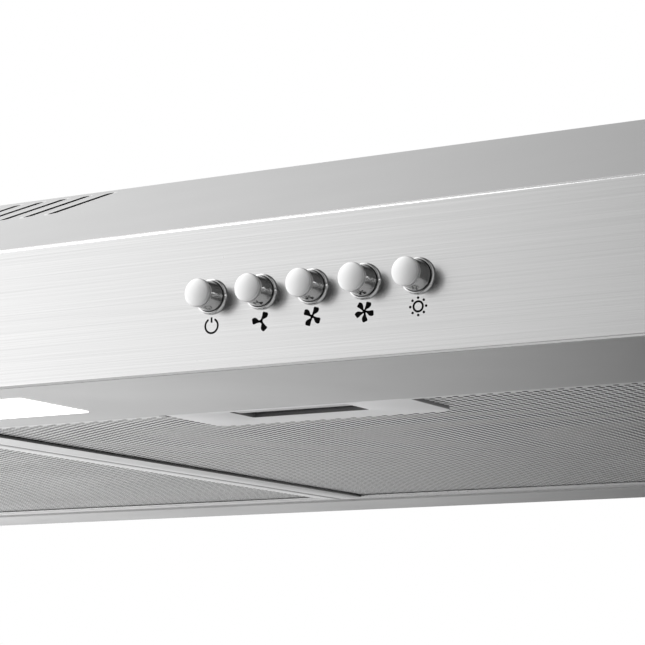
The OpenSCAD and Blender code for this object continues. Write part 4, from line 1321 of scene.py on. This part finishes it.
    def tile(self, low: float, high: float) -> bpy.types.Object:
        """Make one six-sided cell of sheet with a round hole.

        Args:
            low: Height of the sheet's lower face.
            high: Height of its upper face.

        Returns:
            The hidden tile.
        """
        form = bmesh.new()
        reach_x, reach_y = self.column_step / 1.5, self.pitch / math.sqrt(3.0)
        outer = [math.radians(60 * i) for i in range(6)]
        inner = [2 * math.pi * (i + 0.5) / self.corners for i in range(self.corners)]
        bores = []
        for z in (low, high):
            rim = [form.verts.new((reach_x * math.cos(a), reach_y * math.sin(a), z)) for a in outer]
            bore = [form.verts.new((self.hole * math.cos(a), self.hole * math.sin(a), z)) for a in inner]
            bores.append(bore)
            self.stitch(form, rim, outer, bore, inner)
        bridge(form, bores)
        bmesh.ops.recalc_face_normals(form, faces=form.faces)
        for face in form.faces:
            middle = face.calc_center_median()
            flat = abs(face.normal.z) > 0.5
            outward = Vector((0.0, 0.0, middle.z - (low + high) / 2)) if flat else -middle.xy.to_3d()
            if face.normal.dot(outward) < 0:
                face.normal_flip()
        mesh = bpy.data.meshes.new("cell")
        form.to_mesh(mesh)
        form.free()
        return bpy.data.objects.new("cell", mesh)

    def stitch(self, form: bmesh.types.BMesh, rim: list, rim_angles: list[float],
               bore: list, bore_angles: list[float]) -> None:
        """Fill the band between the cell's edge and its hole with triangles.

        Args:
            form: The cell.
            rim: Vertices of the edge.
            rim_angles: Their angles, rising.
            bore: Vertices of the hole.
            bore_angles: Their angles, rising.
        """
        full = 2 * math.pi
        i = j = 0
        while i < len(rim) or j < len(bore):
            next_rim = rim_angles[(i + 1) % len(rim)] + full * ((i + 1) // len(rim))
            next_bore = bore_angles[(j + 1) % len(bore)] + full * ((j + 1) // len(bore))
            here_rim, here_bore = rim[i % len(rim)], bore[j % len(bore)]
            if j >= len(bore) or (i < len(rim) and next_rim <= next_bore):
                form.faces.new((here_rim, rim[(i + 1) % len(rim)], here_bore))
                i += 1
            else:
                form.faces.new((here_rim, bore[(j + 1) % len(bore)], here_bore))
                j += 1

    def screens(self) -> list[bpy.types.Object]:
        """Lay the perforated screen in strips and return them."""
        low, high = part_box(self.node("filter_screen"))
        handle_low, handle_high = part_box(self.node("filter_handle"))
        side = self.border - self.overlap
        x0, x1 = low.x + side, high.x - side
        y0, y1 = low.y + self.front_border - self.overlap, high.y - side
        columns = math.ceil((x1 - x0) / self.column_step)
        rows = math.ceil((y1 - y0) / self.pitch / self.strips)
        width = (columns - 1) * self.column_step
        cell = self.tile(low.z, high.z)
        made = []
        for strip in range(self.strips):
            start = y0 + strip * rows * self.pitch
            length = (rows - 1) * self.pitch
            mesh = LATTICE.run({
                "Width": width, "Length": length, "Columns": columns, "Rows": rows,
                "Pitch": self.pitch, "Column step": self.column_step,
                "Place": ((x0 + x1) / 2, start + length / 2, 0.0),
                "Cut centre": (handle_low.x + handle_high.x) / 2,
                "Cut half width": (handle_high.x - handle_low.x) / 2 - self.tuck,
                "Cut back": handle_high.y - self.tuck,
                "Tile": cell, "Material": SCREEN.material()})
            self.close_edges(mesh, (low.z + high.z) / 2)
            piece = new_piece(f"{self.side.value}_screen_strip_{strip + 1}", mesh, SCREEN)
            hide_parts(self.node("filter_screen"))
            made.append(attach(piece, self.body))
        return made

    def close_edges(self, mesh: bpy.types.Mesh, middle: float) -> None:
        """Wall up the open outer edge between the sheet's two faces.

        Args:
            mesh: The sheet.
            middle: Height halfway between its faces.
        """
        form = bmesh.new()
        form.from_mesh(mesh)
        upper = {(round(v.co.x * 1e6), round(v.co.y * 1e6)): v for v in form.verts if v.co.z > middle}
        for edge in [e for e in form.edges if e.is_boundary]:
            loop = edge.link_loops[0]
            first, second = loop.vert, loop.link_loop_next.vert
            if first.co.z > middle:
                continue
            above = [self.near(upper, v.co) for v in (first, second)]
            if all(above):
                form.faces.new((second, first, above[0], above[1]))
        form.to_mesh(mesh)
        form.free()

    @staticmethod
    def near(known: dict, place: Vector) -> bmesh.types.BMVert | None:
        """Return the vertex above a place, allowing for rounding."""
        x, y = round(place.x * 1e6), round(place.y * 1e6)
        for dx in (0, -1, 1):
            for dy in (0, -1, 1):
                if (x + dx, y + dy) in known:
                    return known[(x + dx, y + dy)]
        return None


def soft_copy(node: str, width: float, finish: Finish, body: str) -> bpy.types.Object:
    """Replace a frame node by a copy with rounded edges.

    Args:
        node: The node's name.
        width: Width of the rounding.
        finish: The copy's finish.
        body: The body it rides on.

    Returns:
        The copy.
    """
    piece = new_piece(f"{node}_soft", softened(node, width), finish)
    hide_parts(node)
    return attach(piece, body)


@dataclass
class Canopy:
    """Folded sheets of the body, with rounded folds and raised louvre rims.

    Attributes:
        fold: Width of the rounding on the folds.
        rim: Half width of the raised rim round a louvre slot.
        rise: Height of that rim.
        slots: Number of louvre slots.
        slot_pitch: Distance between neighbouring slots.
        slot_width: Width of a slot.
        slot_length: Length of a slot.
        slot_gap: Distance from the top bend to the slots.
        top_bend: Distance from the front face back to the top bend.
        arc_steps: Number of steps round each end of a slot.
        ring_steps: Number of steps round the rim's section.
    """

    fold: float = 0.22 * MM
    rim: float = 0.8 * MM
    rise: float = 0.1 * MM
    slots: int = 12
    slot_pitch: float = 11.6 * MM
    slot_width: float = 4.0 * MM
    slot_length: float = 45.0 * MM
    slot_gap: float = 8.0 * MM
    top_bend: float = 130.0 * MM
    arc_steps: int = 8
    ring_steps: int = 8

    def build(self) -> list[bpy.types.Object]:
        """Build every piece and return them."""
        made = [soft_copy(node, self.fold, finish, "hood") for node, finish, slot in (
            ("left_side_panel", CANOPY, "canopy_steel"),
            ("right_side_panel", CANOPY, "canopy_steel"),
            ("front_fascia", FASCIA, "fascia_steel"),
            ("underside_frame", FRAME, "frame_steel"))]
        made.append(self.rims())
        return made

    def rims(self) -> bpy.types.Object:
        """Raise a rolled rim round every louvre slot, in near-white steel that paints a highlight on it.
        """
        low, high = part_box("canopy_shell")
        fascia_low, fascia_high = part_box("front_fascia")
        foot = Vector((0.0, low.y, fascia_high.z))
        bend = Vector((0.0, fascia_low.y + self.top_bend, high.z))
        along = (bend - foot).normalized()
        normal = Vector((1.0, 0.0, 0.0)).cross(along)
        middle = bend - along * (self.slot_gap + self.slot_length / 2)
        half = self.slot_length / 2 - self.slot_width / 2
        form = bmesh.new()
        path = []
        for end, start in ((1, 0), (-1, 180)):
            for step in range(self.arc_steps + 1):
                a = math.radians(start + 180 / self.arc_steps * step)
                path.append((Vector((math.cos(a), 0, 0)) + along * math.sin(a), along * half * end))
        rings = []
        for outward, shift in path:
            centre = middle + shift + outward * (self.slot_width / 2 + self.rim)
            ring = []
            for step in range(self.ring_steps):
                a = 2 * math.pi * step / self.ring_steps
                ring.append(form.verts.new(centre + outward * self.rim * math.cos(a)
                                           + normal * self.rise * math.sin(a)))
            rings.append(ring)
        bridge(form, rings + rings[:1])
        mesh = ROW.run({
            "Count": self.slots, "Pitch": self.slot_pitch,
            "Start": (-(self.slots - 1) / 2 * self.slot_pitch, 0.0, 0.0),
            "Tile": hidden_tile("rim", form), "Material": LIP_PAINTED_HIGHLIGHT.material()})
        piece = new_piece("louvre_rims", mesh, LIP_PAINTED_HIGHLIGHT, smooth=True, angle=60)
        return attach(piece, "hood")


@dataclass
class Studio:
    """Camera, floor, background and soft lights.

    Attributes:
        lens: Focal length, for a 36 mm sensor.
        turn: Angle of the view round the vertical, in degrees.
        tilt: Angle of the view above the level, in degrees.
        stand: Camera's place from the middle of the front lower edge.
        floor_drop: Distance from the underside to the floor.
        floor_half: Half of the floor's side.
        upper: Brightness of the upper backdrop on the left and on the right.
        lower: Brightness of the lower backdrop on the left and on the right.
        depth: Share of the lower backdrop at the horizon and well below it.
        front_gain: Extra brightness in front.
        fill: Brightness of the right-hand side.
        fill_front: Share of the fill in front.
        upper_span: Where the upper backdrop changes, along the view direction's X.
        lower_span: The same for the lower backdrop.
        depth_span: Where the lower backdrop fades, along its Z.
        horizon: Where the lower backdrop gives way to the upper one, along its Z.
        front_span: Where the front gain fades, along its Y.
        fill_span: Where the fill grows, along its X.
        ahead_span: Where the fill is full, along its Y.
        key_place: The light panel's place from the middle of the front lower edge.
        key_target: What it faces, from the same point.
        key_size: Length of its sides.
        key_power: Its power, in watts.
    """

    lens: float = 117.2
    turn: float = 28.72
    tilt: float = 9.74
    stand: Vector = field(default_factory=lambda: Vector((0.5328, -0.5578, -0.0970)))
    floor_drop: float = 1.2
    floor_half: float = 2.2
    upper: tuple[float, float] = (1.56, 0.0)
    lower: tuple[float, float] = (2.65, 0.0)
    depth: tuple[float, float] = (1.3, 0.5)
    front_gain: float = 1.1
    fill: float = 0.75
    fill_front: float = 0.15
    upper_span: tuple[float, float] = (-0.95, 0.0)
    lower_span: tuple[float, float] = (-0.95, -0.285)
    depth_span: tuple[float, float] = (-0.05, -0.38)
    horizon: tuple[float, float] = (-0.2, 0.15)
    front_span: tuple[float, float] = (-0.9, 0.2)
    fill_span: tuple[float, float] = (0.0, 0.45)
    ahead_span: tuple[float, float] = (-0.5, 0.1)
    key_place: tuple[float, float, float] = (-1.3, -1.0, 1.7)
    key_target: tuple[float, float, float] = (0.1, 0.0, 0.0)
    key_size: float = 1.4
    key_power: float = 14.0

    def build(self) -> None:
        """Set up the whole studio."""
        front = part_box("front_fascia")[0]
        low = Vector((0.0, front.y, front.z))
        self.camera(low)
        self.floor(low)
        self.background()
        self.light(low)
        view = bpy.context.scene.view_settings
        view.view_transform = "Standard"
        view.look = "None"

    def camera(self, low: Vector) -> None:
        """Place the camera.

        Args:
            low: Middle of the front lower edge.
        """
        data = bpy.data.cameras.new("view")
        data.lens = self.lens
        data.sensor_width = 36.0
        data.clip_start = 0.02
        data.clip_end = 50.0
        camera = bpy.data.objects.new("view", data)
        camera.location = low + self.stand
        camera.rotation_euler = (math.radians(90 + self.tilt), 0.0, math.radians(self.turn))
        bpy.context.scene.collection.objects.link(camera)
        bpy.context.scene.camera = camera

    def floor(self, low: Vector) -> None:
        """Lay a plain pale floor.

        Args:
            low: Middle of the front lower edge.
        """
        form = bmesh.new()
        bmesh.ops.create_grid(form, x_segments=1, y_segments=1, size=self.floor_half,
                              matrix=Matrix.Translation((0.0, 0.0, low.z - self.floor_drop)))
        mesh = bpy.data.meshes.new("floor")
        form.to_mesh(mesh)
        form.free()
        floor = new_piece("floor", mesh, Moulded("floor_paint", (0.90, 0.90, 0.90), 0.8, texture=60.0))

    def background(self) -> None:
        """Make a white backdrop and a soft, uneven sky for reflections."""
        world = bpy.data.worlds.new("studio")
        bpy.context.scene.world = world
        world.use_nodes = True
        graph = Graph(world.node_tree)
        way = graph.add("ShaderNodeTexCoord").outputs["Generated"]
        east, north, rise = graph.add("ShaderNodeSeparateXYZ", {0: way}).outputs
        upper = graph.remap(east, *self.upper, *self.upper_span)
        flank = graph.remap(east, *self.lower, *self.lower_span)
        depth = graph.remap(rise, *self.depth, *self.depth_span)
        lower = graph.math("MULTIPLY", flank, depth)
        front = graph.remap(north, self.front_gain, 1.0, *self.front_span)
        share = graph.remap(rise, 0.0, 1.0, *self.horizon)
        gap = graph.math("SUBTRACT", graph.math("MULTIPLY", upper, front), lower)
        ahead = graph.remap(north, self.fill_front, 1.0, *self.ahead_span)
        fill = graph.math("MULTIPLY", graph.remap(east, 0.0, self.fill, *self.fill_span), ahead)
        level = graph.math("ADD", fill, graph.math("ADD", lower, graph.math("MULTIPLY", gap, share)))
        sky = graph.add("ShaderNodeBackground", {"Color": (1.0, 1.0, 1.0, 1.0), "Strength": level})
        seen = graph.add("ShaderNodeBackground", {"Color": (1.0, 1.0, 1.0, 1.0), "Strength": 1.0})
        straight = graph.add("ShaderNodeLightPath").outputs["Is Camera Ray"]
        mixed = graph.add("ShaderNodeMixShader", {
            0: straight, 1: sky.outputs[0], 2: seen.outputs[0]})
        graph.add("ShaderNodeOutputWorld", {"Surface": mixed.outputs[0]})

    def light(self, low: Vector) -> None:
        """Hang one square light panel.

        Args:
            low: Middle of the front lower edge.
        """
        place, target = low + Vector(self.key_place), low + Vector(self.key_target)
        data = bpy.data.lights.new("key", "AREA")
        data.shape = "SQUARE"
        data.size = self.key_size
        data.energy = self.key_power
        lamp = bpy.data.objects.new("key", data)
        lamp.location = place
        lamp.rotation_euler = (target - place).to_track_quat("-Z", "Y").to_euler()
        bpy.context.scene.collection.objects.link(lamp)


def dress_frame() -> None:
    """Give every frame node its finish."""
    for finish, names in FINISH_NODES:
        for name in names:
            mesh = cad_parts[name].data
            mesh.materials.clear()
            mesh.materials.append(finish.material())


def main() -> None:
    """Build the studio and the pieces in order and report them."""
    logging.basicConfig(level=logging.INFO, format="%(name)s: %(message)s")
    Studio().build()
    dress_frame()
    filters = [GreaseFilter(side) for side in Side]
    assemblies: list[Canopy | Buttons | GreaseFilter] = [Canopy(), Buttons(), *filters]
    for assembly in assemblies:
        for piece in assembly.build():
            LOG.info("%s: %d faces", piece.name, len(piece.data.polygons))


if __name__ == "__main__":
    main()
